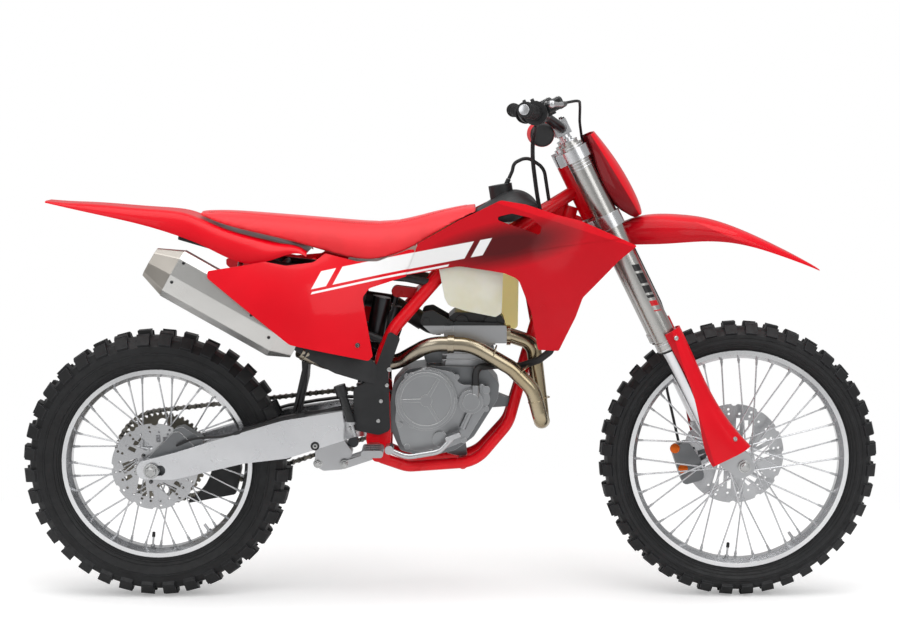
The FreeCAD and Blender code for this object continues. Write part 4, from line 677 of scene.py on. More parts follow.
def cut_out(item, tool, overlapping=False):
    """Take the tool's shape out of a piece; the tool is used up."""
    pick(item)
    cut = item.modifiers.new("cut", "BOOLEAN")
    cut.object = tool
    cut.operation = "DIFFERENCE"
    cut.solver = "EXACT"
    cut.use_self = overlapping
    bpy.ops.object.modifier_apply(modifier="cut")
    bpy.data.objects.remove(tool)
    return item


def joined(name, pieces):
    """One object out of many."""
    pick(*pieces)
    if len(pieces) > 1:
        bpy.ops.object.join()
    item = bpy.context.object
    item.name = name
    item.data.name = name
    return item


def own_copy(item):
    copy = item.copy()
    copy.data = item.data.copy()
    return show(copy)


def scatter(name, template, places):
    """Copies of the template at each place, as one mesh; the template itself is used up."""
    copies = [moved(own_copy(template), matrix) for matrix in places]
    bpy.data.objects.remove(template)
    return joined(name, copies)


def complete(item, body, finish):
    """Give a new piece its finish, count its triangles, and let it ride on its body."""
    dress(item, finishes[finish])
    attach(item, body)
    made[item.name] = sum(len(face.vertices) - 2 for face in item.data.polygons)
    return item


def stand(point, direction, spin=0.0):
    """The matrix that puts a template's z along a direction, at a point."""
    turn = Vector(direction).normalized().to_track_quat("Z", "Y").to_matrix().to_4x4()
    return Matrix.Translation(point) @ turn @ Matrix.Rotation(spin, 4, "Z")


def skin_at(node, x, z, side=-1, y=None):
    """The matrix that stands a template where a line across the bike first meets a piece, if it does."""
    if node not in skins:
        mesh, matrix = nodes[node].data, nodes[node].matrix_world
        skins[node] = BVHTree.FromPolygons(
            [matrix @ v.co for v in mesh.vertices], [list(p.vertices) for p in mesh.polygons])
    start = place(x, side * 500 if y is None else y, z)
    hit, normal, _, _ = skins[node].ray_cast(start, Vector((0, -side, 0)))
    return hit and stand(hit, normal if normal.y * side >= 0 else -normal)


def on_skin(wanted, sides=SIDES, y=None):
    """For each wanted place on a node, the matrices that stand a template on its skin."""
    found = [skin_at(node, x, z, side, y) for node, x, z in wanted for side in sides]
    return [matrix for matrix in found if matrix]


def screw(radius, height, socket=0.5):
    """A round head with a hexagon socket."""
    head = soften(rod(radius, height, 24), 0.18 * radius)
    well = moved(rod(radius * socket, 0.35 * height, 6), shifted(0, 0, height * 0.68))
    return moved(cut_out(head, well), shifted(0, 0, -0.3 * height))


def nut(radius, height, shank=0.0):
    """A hexagon nut with a washer face, and the end of its bolt."""
    pieces = [soften(rod(radius * 1.25, height * 0.2, 24), 0.1 * radius, 1),
              soften(rod(radius, height, 6), 0.12 * radius, 1)]
    if shank:
        pieces.append(soften(rod(shank, height * 1.35, 14), 0.15 * shank, 1))
    return moved(joined("nut", pieces), shifted(0, 0, -0.15 * height))


def run(name, points, radius, sides=2):
    """A round cord through points, straight between them where they are close together."""
    curve = bpy.data.curves.new(name, "CURVE")
    curve.dimensions = "3D"
    curve.bevel_depth = radius * MM
    curve.bevel_resolution = sides
    curve.use_fill_caps = True
    line = curve.splines.new("POLY")
    line.points.add(len(points) - 1)
    for node, point in zip(line.points, points):
        node.co = (*point, 1.0)
    pick(show(bpy.data.objects.new(name, curve)))
    bpy.ops.object.convert(target="MESH")
    return smooth(bpy.context.object, 50)


def smooth_line(points, count=8):
    """A smooth run through the points, as a denser list."""
    padded = [2 * points[0] - points[1]] + list(points) + [2 * points[-1] - points[-2]]
    dense = []
    for i in range(1, len(padded) - 2):
        a, b, c, d = padded[i - 1:i + 3]
        for k in range(count):
            t = k / count
            dense.append(0.5 * ((2 * b) + (c - a) * t + (2 * a - 5 * b + 4 * c - d) * t * t
                                + (3 * b - a - 3 * c + d) * t ** 3))
    return dense + [points[-1]]


print("helpers ready")

# %% [markdown]
# The saddle and the bar pad are soft, so the plain solids are replaced. Each is rebuilt as an even
# net of small squares, swollen a little by the cloth solver under air pressure with its base held,
# and the movement is capped so the shape stays true to the drawing. One subdivision smooths the
# cover. Seams follow afterwards, laid on the finished surface.

# %% Padded pieces
SEAT_GRID = 6.0
PAD_GRID = 5.0
SEAT_CAP = 3.5
PAD_CAP = 2.0
AIR_PRESSURE = 4.0
AIR_FRAMES = 20


def swell(item, cap, held):
    """Blow up a cover with its base held, and keep every point within the cap of its old place."""
    scene = bpy.context.scene
    group = item.vertex_groups.new(name="held")
    group.add(held, 1.0, "REPLACE")
    before = [v.co.copy() for v in item.data.vertices]
    cloth = item.modifiers.new("cover", "CLOTH")
    settings = cloth.settings
    settings.quality = 4
    settings.use_pressure = True
    settings.uniform_pressure_force = AIR_PRESSURE
    settings.effector_weights.gravity = 0.0
    settings.vertex_group_mass = "held"
    cloth.point_cache.frame_start = 1
    cloth.point_cache.frame_end = AIR_FRAMES
    for frame_number in range(1, AIR_FRAMES + 1):
        scene.frame_set(frame_number)
    solved = item.evaluated_get(bpy.context.evaluated_depsgraph_get()).to_mesh()
    after = [v.co.copy() for v in solved.vertices]
    item.modifiers.remove(cloth)
    scene.frame_set(1)
    for vertex, old, new in zip(item.data.vertices, before, after):
        shift = new - old
        if shift.length > cap * MM:
            shift.length = cap * MM
        vertex.co = old + shift


def solid_copy(node):
    """A copy of a node of the drawing, with its place in its mesh."""
    copy = own_copy(nodes[node])
    copy.parent = None
    copy.matrix_world = Matrix()
    return moved(copy, nodes[node].matrix_world)


def cushion(node, name, grid, cap, held_test):
    """A soft copy of a solid, on an even net."""
    item = solid_copy(node)
    item.name = name
    pick(item)
    item.data.remesh_voxel_size = grid * MM
    bpy.ops.object.voxel_remesh()
    item.vertex_groups.clear()
    even = item.modifiers.new("even", "SMOOTH")
    even.factor = 0.5
    even.iterations = 3
    bpy.ops.object.modifier_apply(modifier="even")
    swell(item, cap, [v.index for v in item.data.vertices if held_test(v.co, v.normal)])
    finer = item.modifiers.new("finer", "SUBSURF")
    finer.levels = 1
    finer.render_levels = 1
    pick(item)
    bpy.ops.object.modifier_apply(modifier="finer")
    bpy.ops.object.shade_smooth()
    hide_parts(node)
    return item


seat = cushion("seat", "saddle_cover", SEAT_GRID, SEAT_CAP, lambda co, normal: normal.z < -0.15)
complete(seat, "main", "cloth")
bar_pad = cushion("bar_pad", "bar_pad_cover", PAD_GRID, PAD_CAP, lambda co, normal: abs(normal.y) > 0.85)
complete(bar_pad, "steering", "pad")
print("saddle", made["saddle_cover"], "pad", made["bar_pad_cover"])

# %% [markdown]
# Two stitched seams run the length of the saddle where its top panel meets the sides. Each is a cord
# laid on the swollen surface, with short stitches beside it. The points are found by casting lines
# from above onto the finished cover.

# %% Saddle seams
SEAM_WIDTHS = ((140, 34), (270, 46), (410, 50), (520, 48), (600, 45), (680, 40), (770, 32), (796, 27))
SEAM_START, SEAM_END, STITCH_STEP = 142.0, 795.0, 6.0
STITCH_INSET = 5


def half_width(x):
    """The seam's distance from the middle plane at a place along the saddle."""
    for (x0, w0), (x1, w1) in zip(SEAM_WIDTHS, SEAM_WIDTHS[1:]):
        if x <= x1:
            return w0 + (w1 - w0) * (x - x0) / (x1 - x0)
    return SEAM_WIDTHS[-1][1]


def seams(cover):
    tree = BVHTree.FromObject(cover, bpy.context.evaluated_depsgraph_get())
    down = Vector((0, 0, -1))
    cords, stitches = [], []
    for side in SIDES:
        line = []
        x = SEAM_START
        while x < SEAM_END:
            point, normal, _, _ = tree.ray_cast(place(x, side * half_width(x), 1300), down)
            if point:
                line.append(point - normal * 0.5 * MM)
                above = place(x, side * (half_width(x) - STITCH_INSET), 1300)
                beside, slant, _, _ = tree.ray_cast(above, down)
                if beside:
                    stitches.append(stand(beside, slant, math.pi / 2))
            x += STITCH_STEP
        cords.append(run("seam", line, 1.5))
    complete(joined("saddle_seams", cords), "main", "cloth")
    complete(scatter("saddle_stitches", block(3.6, 0.9, 0.7), stitches), "main", "thread")


seams(seat)
print("seams", made["saddle_seams"], made["saddle_stitches"])

# %% [markdown]
# The drawing's chain is a plain band with the engine sprocket inside. Real links take its place and
# keep its line: inner links with two rollers and outer links with two pins take turns round the same
# path, each one turned to follow it. The sprocket is copied from the drawing's piece.

# %% Drive chain
PITCH = 15.875
ROLLER = 5.08
PIN = 2.6
PLATE_HEIGHT = 8.6
PLATE_END = 6.1
PLATE_THICK = 1.9
CHAIN_Y = 75.0
BIG = PITCH / (2 * math.sin(math.pi / 48))
SMALL = PITCH / (2 * math.sin(math.pi / 14))
PINION = (652.0, 472.0)
CREST = (500.0, REAR_AXLE[1] + BIG + 57.2)
TURN = 2 * math.pi


def chain_path():
    """The closed line of the chain's pins in side view, as many short steps."""
    def on(centre, radius, angle):
        return around(centre, radius, math.degrees(angle))

    def touch(centre, radius, sign):
        gap_x, gap_z = CREST[0] - centre[0], CREST[1] - centre[1]
        return math.atan2(gap_z, gap_x) + sign * math.acos(radius / math.hypot(gap_x, gap_z))

    span_x, span_z = PINION[0] - REAR_AXLE[0], PINION[1] - REAR_AXLE[1]
    low = math.atan2(span_z, span_x) - math.pi / 2 + math.asin((BIG - SMALL) / math.hypot(span_x, span_z))
    front_end = low + (touch(PINION, SMALL, -1) - low) % TURN
    rear_start = low + (touch(REAR_AXLE, BIG, 1) - low) % TURN
    points = [on(REAR_AXLE, BIG, low), on(PINION, SMALL, low)]
    points += [on(PINION, SMALL, low + (front_end - low) * k / 60) for k in range(1, 61)]
    points.append(CREST)
    return points + [on(REAR_AXLE, BIG, rear_start + (low + TURN - rear_start) * k / 120)
                     for k in range(120)]


def walk(points, count):
    """Points at even steps along a closed line."""
    closed = points + points[:1]
    lengths = [math.dist(a, b) for a, b in zip(closed, closed[1:])]
    result, i, done = [], 0, 0.0
    for k in range(count):
        target = sum(lengths) * k / count
        while done + lengths[i] < target:
            done += lengths[i]
            i += 1
        t = (target - done) / lengths[i]
        result.append(tuple(a + (b - a) * t for a, b in zip(closed[i], closed[i + 1])))
    return result


def link_plate(y):
    """A waisted plate across two pins, lying along x."""
    ends = [moved(rod(PLATE_END, PLATE_THICK, 18), ACROSS, shifted(end * PITCH / 2, y + PLATE_THICK / 2, 0))
            for end in SIDES]
    return ends + [block(PITCH, PLATE_THICK, PLATE_HEIGHT, (0, y, 0))]


def link(name, plate_y, radius, half):
    """Two plates and the two rollers or pins between them."""
    bars = [moved(rod(radius, 2 * half, 14), ACROSS, shifted(end * PITCH / 2, half, 0)) for end in SIDES]
    return smooth(joined(name, link_plate(-plate_y) + link_plate(plate_y) + bars), 35)


def drive_chain():
    path = chain_path()
    total = sum(math.dist(a, b) for a, b in zip(path, path[1:] + path[:1]))
    count = 2 * round(total / PITCH / 2)
    pins = walk(path, count)
    inner, outer = link("inner", 4.6, ROLLER, 3.6), link("outer", 6.9, PIN, 9.2)
    spots = ([], [])
    for i, (x, z) in enumerate(pins):
        ahead_x, ahead_z = pins[(i + 1) % count]
        lean = Matrix.Rotation(-math.atan2(ahead_z - z, ahead_x - x), 4, "Y")
        spots[i % 2].append(Matrix.Translation(place((x + ahead_x) / 2, CHAIN_Y, (z + ahead_z) / 2)) @ lean)
    print("chain of", count, "links over", round(total), "mm")
    links = joined("links", [scatter("inner_links", inner, spots[0]),
                             scatter("outer_links", outer, spots[1])])
    pick(solid_copy("chain"))
    bpy.ops.mesh.separate(type="LOOSE")
    sprocket, *spare = sorted(bpy.context.selected_objects, key=lambda item: item.dimensions.x)
    for item in spare:
        bpy.data.objects.remove(item)
    chain = complete(joined("drive_chain", [links, sprocket]), "main", "chain")
    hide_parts("chain")


drive_chain()
print("drive chain", made["drive_chain"])

# %% [markdown]
# Each wheel has a nipple where every spoke enters the rim, a valve with its cap, a rim lock, and the
# screws that hold its disc; the rear wheel also has the sprocket's bolts. Their places follow the
# spokes' own arithmetic from the drawing.

# %% Wheel hardware
SPOKES = 36
RIM_Y = 6.0
SPOKE_SWEEP = 46.0
VALVE_AT, LOCK_AT = 265, 305


def spoke_ends(axle, hub_radius, hub_in, hub_out, rim_inner):
    """The place where each spoke meets the rim, and the direction it comes from."""
    ends = []
    for i in range(SPOKES):
        side = 1 if i % 2 else -1
        lean = 1 if (i // 2) % 2 else -1
        angle = i * 360 / SPOKES
        hub_x, hub_z = around(axle, hub_radius, angle + lean * SPOKE_SWEEP)
        rim_x, rim_z = around(axle, rim_inner, angle)
        outer = place(rim_x, side * RIM_Y, rim_z)
        root = place(hub_x, side * (hub_in if lean > 0 else hub_out), hub_z)
        ends.append((outer, (outer - root).normalized()))
    return ends


def nipple():
    """A spoke nipple: a slim tapered sleeve with a square neck."""
    sleeve = rod(2.6, 15, 12, 3.1)
    neck = block(5.4, 5.4, 5, (0, 0, 8))
    collar = moved(soften(rod(4.0, 2.6, 14), 0.6, 1), shifted(0, 0, 13))
    return joined("nipple", [sleeve, soften(neck, 0.5, 1), collar])


def ring_of(axle, radius, y, side, first):
    """Six places on a circle about an axle, that face one side."""
    return [stand(place(x, y, z), (0, side, 0))
            for x, z in (around(axle, radius, 60 * k + first) for k in range(6))]


def wheel_hardware(name, axle, spokes, disc, sprocket=None):
    body, rim_inner = name + "_wheel", spokes[3]

    def at_rim(degrees, inset=0.0):
        x, z = around(axle, rim_inner + 2, degrees)
        inward = Vector((-math.cos(math.radians(degrees)), 0, -math.sin(math.radians(degrees))))
        return [stand(place(x, 0, z) + inward * inset * MM, inward)]

    nipples = [stand(point - along * 15 * MM, along) for point, along in spoke_ends(axle, *spokes)]
    stem = joined("stem", [rod(2.6, 34, 14), rod(5.5, 3, 6), rod(5.5, 6, 6)])
    lock = joined("lock", [rod(3.8, 24, 14), nut(7.5, 7)])
    cap = soften(rod(4.6, 13, 14, 3.8), 0.8)
    complete(scatter(name + "_nipples", nipple(), nipples), body, "steel")
    complete(scatter(name + "_valve", stem, at_rim(VALVE_AT)), body, "steel")
    complete(scatter(name + "_valve_cap", cap, at_rim(VALVE_AT, 26)), body, "rubber")
    complete(scatter(name + "_rim_lock", lock, at_rim(LOCK_AT)), body, "steel")
    disc_y, disc_circle, side = disc
    bolts = ring_of(axle, disc_circle, disc_y, side, 15)
    if sprocket:
        bolts += ring_of(axle, sprocket[1], sprocket[0], 1, 0)
    complete(scatter(name + "_bolts", screw(5.2, 4.6), bolts), body, "dark_steel")


wheel_hardware("front", FRONT_AXLE, (38.0, 26.5, 37.5, 259.4), (64.0, 39.0, 1))
wheel_hardware("rear", REAR_AXLE, (42.0, 24.5, 35.5, 221.4), (-67.0, 40.0, -1), (78.0, 57.0))
print({name: count for name, count in made.items() if "front" in name or "rear" in name})

# %% [markdown]
# The bodywork, guards, covers and controls are held by visible screws and nuts. Each is placed where
# the photograph shows one, by casting a line onto the piece it holds, so it sits on the skin and
# faces outwards. The hidden side has the same ones, mirrored.

# %% Screws and nuts
def body_screws():
    for finish, spot in (("zinc", ("frame_guards", 596, 600)), ("dark_steel", ("side_panels", 520, 668))):
        complete(scatter("panel_screws_" + finish, screw(6.0, 4.0), on_skin([spot])), "main", finish)
    places = on_skin([("swingarm", 560, 462), ("swingarm", 505, 445)])
    complete(scatter("swingarm_bolts", nut(9.0, 7.0, 5.0), places), "main", "zinc")


def fork_screws():
    """Screws on the guards, pinch bolts at both clamps, and the caps of the legs."""
    wanted = []
    for x, z in ((44, 78), (22, 372)):
        spot = (place_on_fork(x, 0, z) - place(0, 0, 0)) / MM
        wanted.append(("fork_guards", spot.x, spot.z))
    complete(scatter("guard_screws", screw(6.0, 4.0), on_skin(wanted)), "steering", "zinc")
    pinch = [stand(place_on_fork(31, side * 66, z), FORK_AHEAD)
             for z in (696, 712, 882, 894) for side in SIDES]
    complete(scatter("clamp_bolts", screw(5.6, 9.0), pinch), "steering", "dark_steel")
    bolts = [stand(place_on_fork(x, side * 48, 979), FORK_UP) for x in (-15, 13) for side in SIDES]
    complete(scatter("bar_clamp_bolts", screw(4.6, 6.0), bolts), "steering", "dark_steel")
    caps = []
    for side in SIDES:
        caps += [moved(soften(rod(21.5, 4, 6), 1.0, 1), stand(place_on_fork(0, side * LEG_Y, 922), FORK_UP)),
                 moved(soften(rod(10, 9, 24), 1.5), stand(place_on_fork(0, side * LEG_Y, 925), FORK_UP))]
    complete(joined("fork_caps", caps), "steering", "forged")


body_screws()
fork_screws()
print("screws", {name: count for name, count in made.items() if "screw" in name or "bolt" in name})

# %% [markdown]
# The fork's outer tubes have turned grooves below the upper clamp and a rubber wiper at the seal.
# The axle has a hexagon end on the seen side, and the rear axle carries chain adjusters with their
# bolts in the ends of the swingarm.

# %% Fork rings and axle ends
BRIGHT_RINGS = ((906, 29.7, 3.2), (866, 29.7, 3.2), (858, 29.7, 3.2), (850, 29.7, 3.2),
                (352, 32.0, 3.0), (366, 32.0, 3.0))


def leg_rings(sizes):
    return [moved(soften(rod(radius, height, 48), 0.5, 1), stand(place_on_fork(0, side * LEG_Y, z), FORK_UP))
            for side in SIDES for z, radius, height in sizes]


complete(joined("fork_rings", leg_rings(BRIGHT_RINGS)), "steering", "forged")
complete(joined("fork_wipers", leg_rings([(344, 27.5, 8)])), "steering", "rubber")
front_end = [stand(place_on_fork(AXLE_OFFSET, -124, 0), (0, -1, 0))]
complete(scatter("front_axle_hex", nut(13.0, 7.0, 7.5), front_end), "steering", "zinc")
rear_ends = [stand(place(0, side * 132, REAR_AXLE[1]), (0, side, 0)) for side in SIDES]
complete(scatter("rear_axle_nuts", nut(15.0, 9.0, 9.0), rear_ends), "main", "zinc")
adjusters = [stand(place(-39, side * 106, z), (-1, 0, 0)) for side in SIDES for z in (337, 353)]
complete(scatter("chain_adjusters", nut(6.0, 6.0, 3.6), adjusters), "main", "zinc")
print("rings", made["fork_rings"], "nuts", made["rear_axle_nuts"])

# %% [markdown]
# Both brake discs have an open lattice between the hub and the drilled ring. The drawing keeps a
# plain version; here each is cut again from a fresh disc with the same radius, thickness and waved
# edge, and with slanted windows and rows of small holes, all cut in one pass by a joined tool.

# %% Lattice brake discs
DISC_THICK = 4.0
TOOL_HALF = 6


def window_tool(axle, y, inner, outer, turn, lean, width):
    """A slanted slot between two radii; its turn and lean are in radians."""
    start, end = around(axle, inner, math.degrees(turn)), around(axle, outer, math.degrees(turn + lean))
    slope = math.atan2(end[1] - start[1], end[0] - start[0])
    return moved(block(math.dist(start, end), 2 * TOOL_HALF, width), Matrix.Rotation(-slope, 4, "Y"),
                 Matrix.Translation(place((start[0] + end[0]) / 2, y, (start[1] + end[1]) / 2)))


def lattice_disc(name, node, body, axle, y, radius, bore, ring_inner):
    def hole(size, reach, degrees):
        x, z = around(axle, reach, degrees)
        return moved(rod(size, 2 * TOOL_HALF, 20), ACROSS, Matrix.Translation(place(x, y + TOOL_HALF, z)))

    disc = moved(rod(radius, DISC_THICK, 120), ACROSS,
                 Matrix.Translation(place(axle[0], y + DISC_THICK / 2, axle[1])))
    tools = [hole(bore, 0, 0)] + [hole(9, radius + 4, 30 * k + 90) for k in range(12)]
    middle = (radius + ring_inner) / 2
    for k in range(24):
        for reach in (middle - 8, middle + 4)[:1 if k % 2 else 2]:
            tools.append(hole(3.4, reach, 15 * k + 7.5))
    low, high = bore + 15, ring_inner - 3
    for k in range(6):
        turn = math.radians(60 * k + 45)
        tools += [window_tool(axle, y, low, high, turn - 0.10, 0.34, 0.28 * low),
                  window_tool(axle, y, low + 4, high, turn + 0.10, 0.34, 0.28 * low),
                  window_tool(axle, y, low + 18, high + 1, turn + 0.62, 0.05, 0.24 * low)]
    smooth(cut_out(disc, joined("tool", tools), True), 30)
    disc.name = name
    complete(disc, body, "steel")
    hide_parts(node)


lattice_disc("front_brake_disc", "front_disc", "front_wheel", FRONT_AXLE, 62.0, 130.0, 28.3, 96.0)
lattice_disc("rear_brake_disc", "rear_disc", "rear_wheel", REAR_AXLE, -65.0, 110.0, 30.3, 84.0)
print("discs", made["front_brake_disc"], made["rear_brake_disc"])

# %% [markdown]
# The rubber grips have close ribs and an end plug. Each side of the bar carries a fluid reservoir
# with a screwed lid, and a switch pod with a button. The bar's outer stretch runs straight between
# two points of the drawing.

# %% Grips and controls
BAR_INNER, BAR_OUTER = (-28.0, 165.0, 1006.0), (-75.0, 400.0, 1047.0)
RIBS = 27
RIB_START, RIB_STEP = 291, 4.0
RESERVOIR_Y, RESERVOIR_TOP, SWITCH_Y = 215, 1036.7, 242


def bar_at(y, side):
    """A point on the bar's outer stretch, by its distance from the middle plane."""
    share = (y - BAR_INNER[1]) / (BAR_OUTER[1] - BAR_INNER[1])
    x, z = (a + (b - a) * share for a, b in zip(BAR_INNER[::2], BAR_OUTER[::2]))
    return place_on_fork(x, side * y, z)


def on_bar(item, y, side):
    """The piece moved to a place on the bar, along it."""
    return moved(item, stand(bar_at(y, side), (bar_at(400, side) - bar_at(284, side)).normalized()))


def grips():
    ribs = [on_bar(rod(18.3 if k % 9 == 4 else 17.7, 2.2, 28), RIB_START + RIB_STEP * k, side)
            for side in SIDES for k in range(RIBS)]
    plugs = [on_bar(soften(rod(12.5, 3.0, 28), 1.0), 407, side) for side in SIDES]
    collars = [on_bar(soften(rod(19.2, 7.0, 32), 1.0), 392, side) for side in SIDES]
    complete(joined("grip_ribs", ribs), "steering", "rubber")
    complete(joined("grip_plugs", plugs), "steering", "forged")
    complete(joined("grip_collars", collars), "steering", "rubber")


def controls():
    """Lids of the fluid reservoirs with their screws, and the switch pods with their buttons."""
    tops = [place_on_fork(0, side * RESERVOIR_Y, RESERVOIR_TOP) for side in SIDES]
    screws = [stand(at + FORK_AHEAD * x * MM + Vector((0, y * MM, 0)), FORK_UP)
              for at in tops for x in (-15, 15) for y in (-22, 22)]
    lids = [moved(soften(block(38, 54, 3.5), 1.2), Matrix.Translation(at - FORK_UP * 0.5 * MM)
                  @ Matrix.Rotation(-FORK_RAKE, 4, "Y")) for at in tops]
    complete(joined("reservoir_lids", lids), "steering", "dark_steel")
    complete(scatter("reservoir_screws", screw(2.6, 3.0), screws), "steering", "zinc")
    pods = []
    for side in SIDES:
        at = bar_at(SWITCH_Y, side)
        pods += [on_bar(soften(rod(17.0, 12, 28), 1.2), SWITCH_Y - 6, side),
                 moved(soften(block(16, 13, 22), 2.5), Matrix.Translation(at + FORK_UP * 24 * MM)),
                 moved(soften(rod(4.6, 8, 20), 1.0), stand(at + FORK_UP * 33 * MM, FORK_UP))]
    complete(joined("switch_pods", pods), "steering", "black")


grips()
controls()
print("controls", made["grip_ribs"], made["switch_pods"])

# %% [markdown]
# Two throttle cables hang from the right-hand housing down behind the steering head. They cross the
# steering joint.

# %% Throttle cables
CABLE_LINE = ((955, -190, 1192), (953, -130, 1165), (955, -92, 1120), (961, -72, 1075),
              (968, -60, 1030), (976, -52, 990), (982, -46, 962))
CABLE_GAP = 7.5


def throttle_cables():
    cables = []
    for shift in (0.0, CABLE_GAP):
        points = [bar_at(266, -1) + Vector((-0.004, 0.0, -0.022 - shift * MM))]
        points += [place(x - shift * 0.6, y - shift * 0.5, z) for x, y, z in CABLE_LINE]
        cables.append(run("cable", smooth_line(points), 3.1))
    item = joined("throttle_cables", cables)
    dress(item, finishes["rubber"])
    place(955, -150, 1180)
    place(976, -52, 990)
    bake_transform(item)


throttle_cables()

# %% [markdown]
# The silencer's sleeve is riveted to both ends, and the header has weld beads where its bends were
# joined. The rivets are found on the skin by casting; the beads are rings square to the pipe.

# %% Rivets and welds
RIVETS = (("silencer", 98, 872), ("silencer", 69, 826), ("silencer", 304, 690), ("silencer", 262, 745))
WELDS = (
    ((981, -44, 520), (0, 0, 1)), ((979, -73, 464), (0, 1, 0)),
    ((962.5, -104.6, 519.4), (-0.26, -0.05, 0.97)), ((928, -107, 597), (-0.6, 0, 0.8)),
    ((858, -109.3, 642), (-0.9, 0, 0.3)), ((742, -106.5, 663), (-1, 0, 0.03)),
)
WELD_RADIUS, BEAD_RADIUS = 19.1, 1.3


def weld_beads():
    beads = []
    for at, direction in WELDS:
        pick()
        bpy.ops.mesh.primitive_torus_add(
            major_radius=WELD_RADIUS * MM, minor_radius=BEAD_RADIUS * MM, major_segments=40, minor_segments=8)
        bead = moved(in_mesh(bpy.context.object), stand(place(*at), direction))
        pick(bead)
        bpy.ops.object.shade_smooth()
        beads.append(bead)
    complete(joined("header_welds", beads), "main", "pipe")


rivet = moved(soften(rod(4.2, 2.2, 20), 0.9), shifted(0, 0, -0.5))
complete(scatter("silencer_rivets", rivet, on_skin(RIVETS, (-1,))), "main", "dark_steel")
weld_beads()
print("rivets", made["silencer_rivets"], "welds", made["header_welds"])

# %% [markdown]
# Some trim that the solid model leaves out: the black cover between the silencer's inlet and the
# frame guard, the flap ahead of the rear tyre, the rubbing strip on the swingarm, and the rear brake
# hose that runs along it under two clips. The cover starts at the frame guard and flares outwards
# over the exhaust pipe.

# %% Covers, flap, strips and hose
LOWER_COVER = ((350, 682), (400, 672), (470, 656), (540, 640), (566, 610), (562, 562), (520, 574),
               (462, 594), (405, 627), (366, 654))
COVER_FLARE = 0.27
FLAP = ((372, 640), (392, 640), (386, 560), (372, 500), (366, 470), (360, 470), (364, 505), (374, 560))
STRIP_LINE = ((226, 445), (325, 474), (400, 487), (476, 497), (530, 495))
HOSE_LINE = ((60, -100, 405), (110, -112, 425), (180, -122, 432), (250, -124, 452), (340, -121, 477),
             (420, -117, 492), (470, -116, 505), (492, -119, 500), (505, -122, 478), (508, -124, 460))
HOSE_CLIPS = ((215, -123.3, 441.5), (378, -119.3, 486))


def plate(name, outline, y_low, y_high, edge=3.0):
    """A side-view outline made solid between two distances from the middle plane."""
    mesh = bpy.data.meshes.new(name)
    count = len(outline)
    points = [place(x, y, z) for y in (y_low, y_high) for x, z in outline]
    faces = [list(range(count)), list(range(2 * count - 1, count - 1, -1))]
    faces += [[i, i + count, (i + 1) % count + count, (i + 1) % count] for i in range(count)]
    mesh.from_pydata(points, [], faces)
    item = show(bpy.data.objects.new(name, mesh))
    pick(item)
    bpy.ops.object.mode_set(mode="EDIT")
    bpy.ops.mesh.select_all(action="SELECT")
    bpy.ops.mesh.normals_make_consistent(inside=False)
    bpy.ops.object.mode_set(mode="OBJECT")
    return soften(item, edge, 3, 30)


def trim():
    lower = plate("lower_side_cover", LOWER_COVER, -114.0, -111.0, 1.2)
    for vertex in lower.data.vertices:
        vertex.co.y -= COVER_FLARE * (place(566, 0, 0).x - vertex.co.x)
    lower.data.update()
    complete(lower, "main", "black")
    complete(plate("mud_flap", FLAP, -52, 52, 2.0), "main", "black")
    outline = [(x, z + 5) for x, z in STRIP_LINE] + [(x, z - 1) for x, z in STRIP_LINE[::-1]]
    strips = [plate("strip", outline, low, high, 1.5) for low, high in ((-112, -86), (86, 112))]
    complete(joined("swingarm_strips", strips), "main", "black")
    hose = run("rear_brake_line", smooth_line([place(*point) for point in HOSE_LINE]), 3.0)
    complete(hose, "main", "rubber")
    clips = [moved(soften(block(16, 9, 9), 1.5),
                   Matrix.Translation(place(*at)) @ Matrix.Rotation(-0.25, 4, "Y")) for at in HOSE_CLIPS]
    complete(joined("hose_clips", clips), "main", "black")


trim()
print("trim", made["lower_side_cover"], made["mud_flap"], made["swingarm_strips"])

# %% [markdown]
# Below the pivot the linkage turns on two large bolts, the swingarm has a rubber bung with a bright
# screw, and the lower black guard carries three screws. The front caliper shows two orange pistons.

# %% Linkage bolts, bungs and pistons
BUNGS = (("swingarm", 409, 405),)
LINK_BOLTS = (("linkage", 410, 345), ("linkage", 478, 345))
GUARD_SCREWS = (("frame_guards", 575, 520), ("frame_guards", 590, 560), ("frame_guards", 568, 470))
PISTONS = (("front_caliper", 1330, 372), ("front_caliper", 1352, 318))
PISTON_FROM_Y = -20


def lower_hardware():
    bung = soften(rod(11.0, 3.0, 32), 1.0)
    complete(scatter("swingarm_bungs", bung, on_skin(BUNGS)), "main", "rubber")
    complete(scatter("swingarm_bung_screws", screw(6.2, 5.2), on_skin(BUNGS)), "main", "zinc")
    complete(scatter("linkage_nuts", nut(9.5, 7.0, 5.5), on_skin(LINK_BOLTS)), "main", "zinc")
    complete(scatter("guard_plate_screws", screw(5.0, 3.2), on_skin(GUARD_SCREWS)), "main", "zinc")
    piston = soften(rod(13.0, 3.0, 32), 1.0)
    pistons = scatter("front_pistons", piston, on_skin(PISTONS, (-1,), PISTON_FROM_Y))
    complete(pistons, "steering", "orange")


lower_hardware()
print("pieces", len(made), "triangles", sum(made.values()))

# %% [markdown]
# The camera stands where the photographer stood, square to the bike's right side and as high as the
# bar, and looks down a little through a long lens. The floor is plain white and fades into a white
# surround, and three large soft lamps give the even studio light that shows gloss without hard spots.

# %% Camera
SENSOR = 36.0
LENS = 74.24
CAMERA_AT = place(747.6, -4700.0, 1243.0)
CAMERA_PITCH = 6.1


def add_camera():
    camera_data = bpy.data.cameras.new("camera")
    camera_data.sensor_width = SENSOR
    camera_data.lens = LENS
    camera = show(bpy.data.objects.new("camera", camera_data))
    camera.location = CAMERA_AT
    camera.rotation_euler = (math.radians(90 - CAMERA_PITCH), 0, 0)
    bpy.context.scene.camera = camera
    return camera


print("camera", [round(v, 3) for v in add_camera().location])

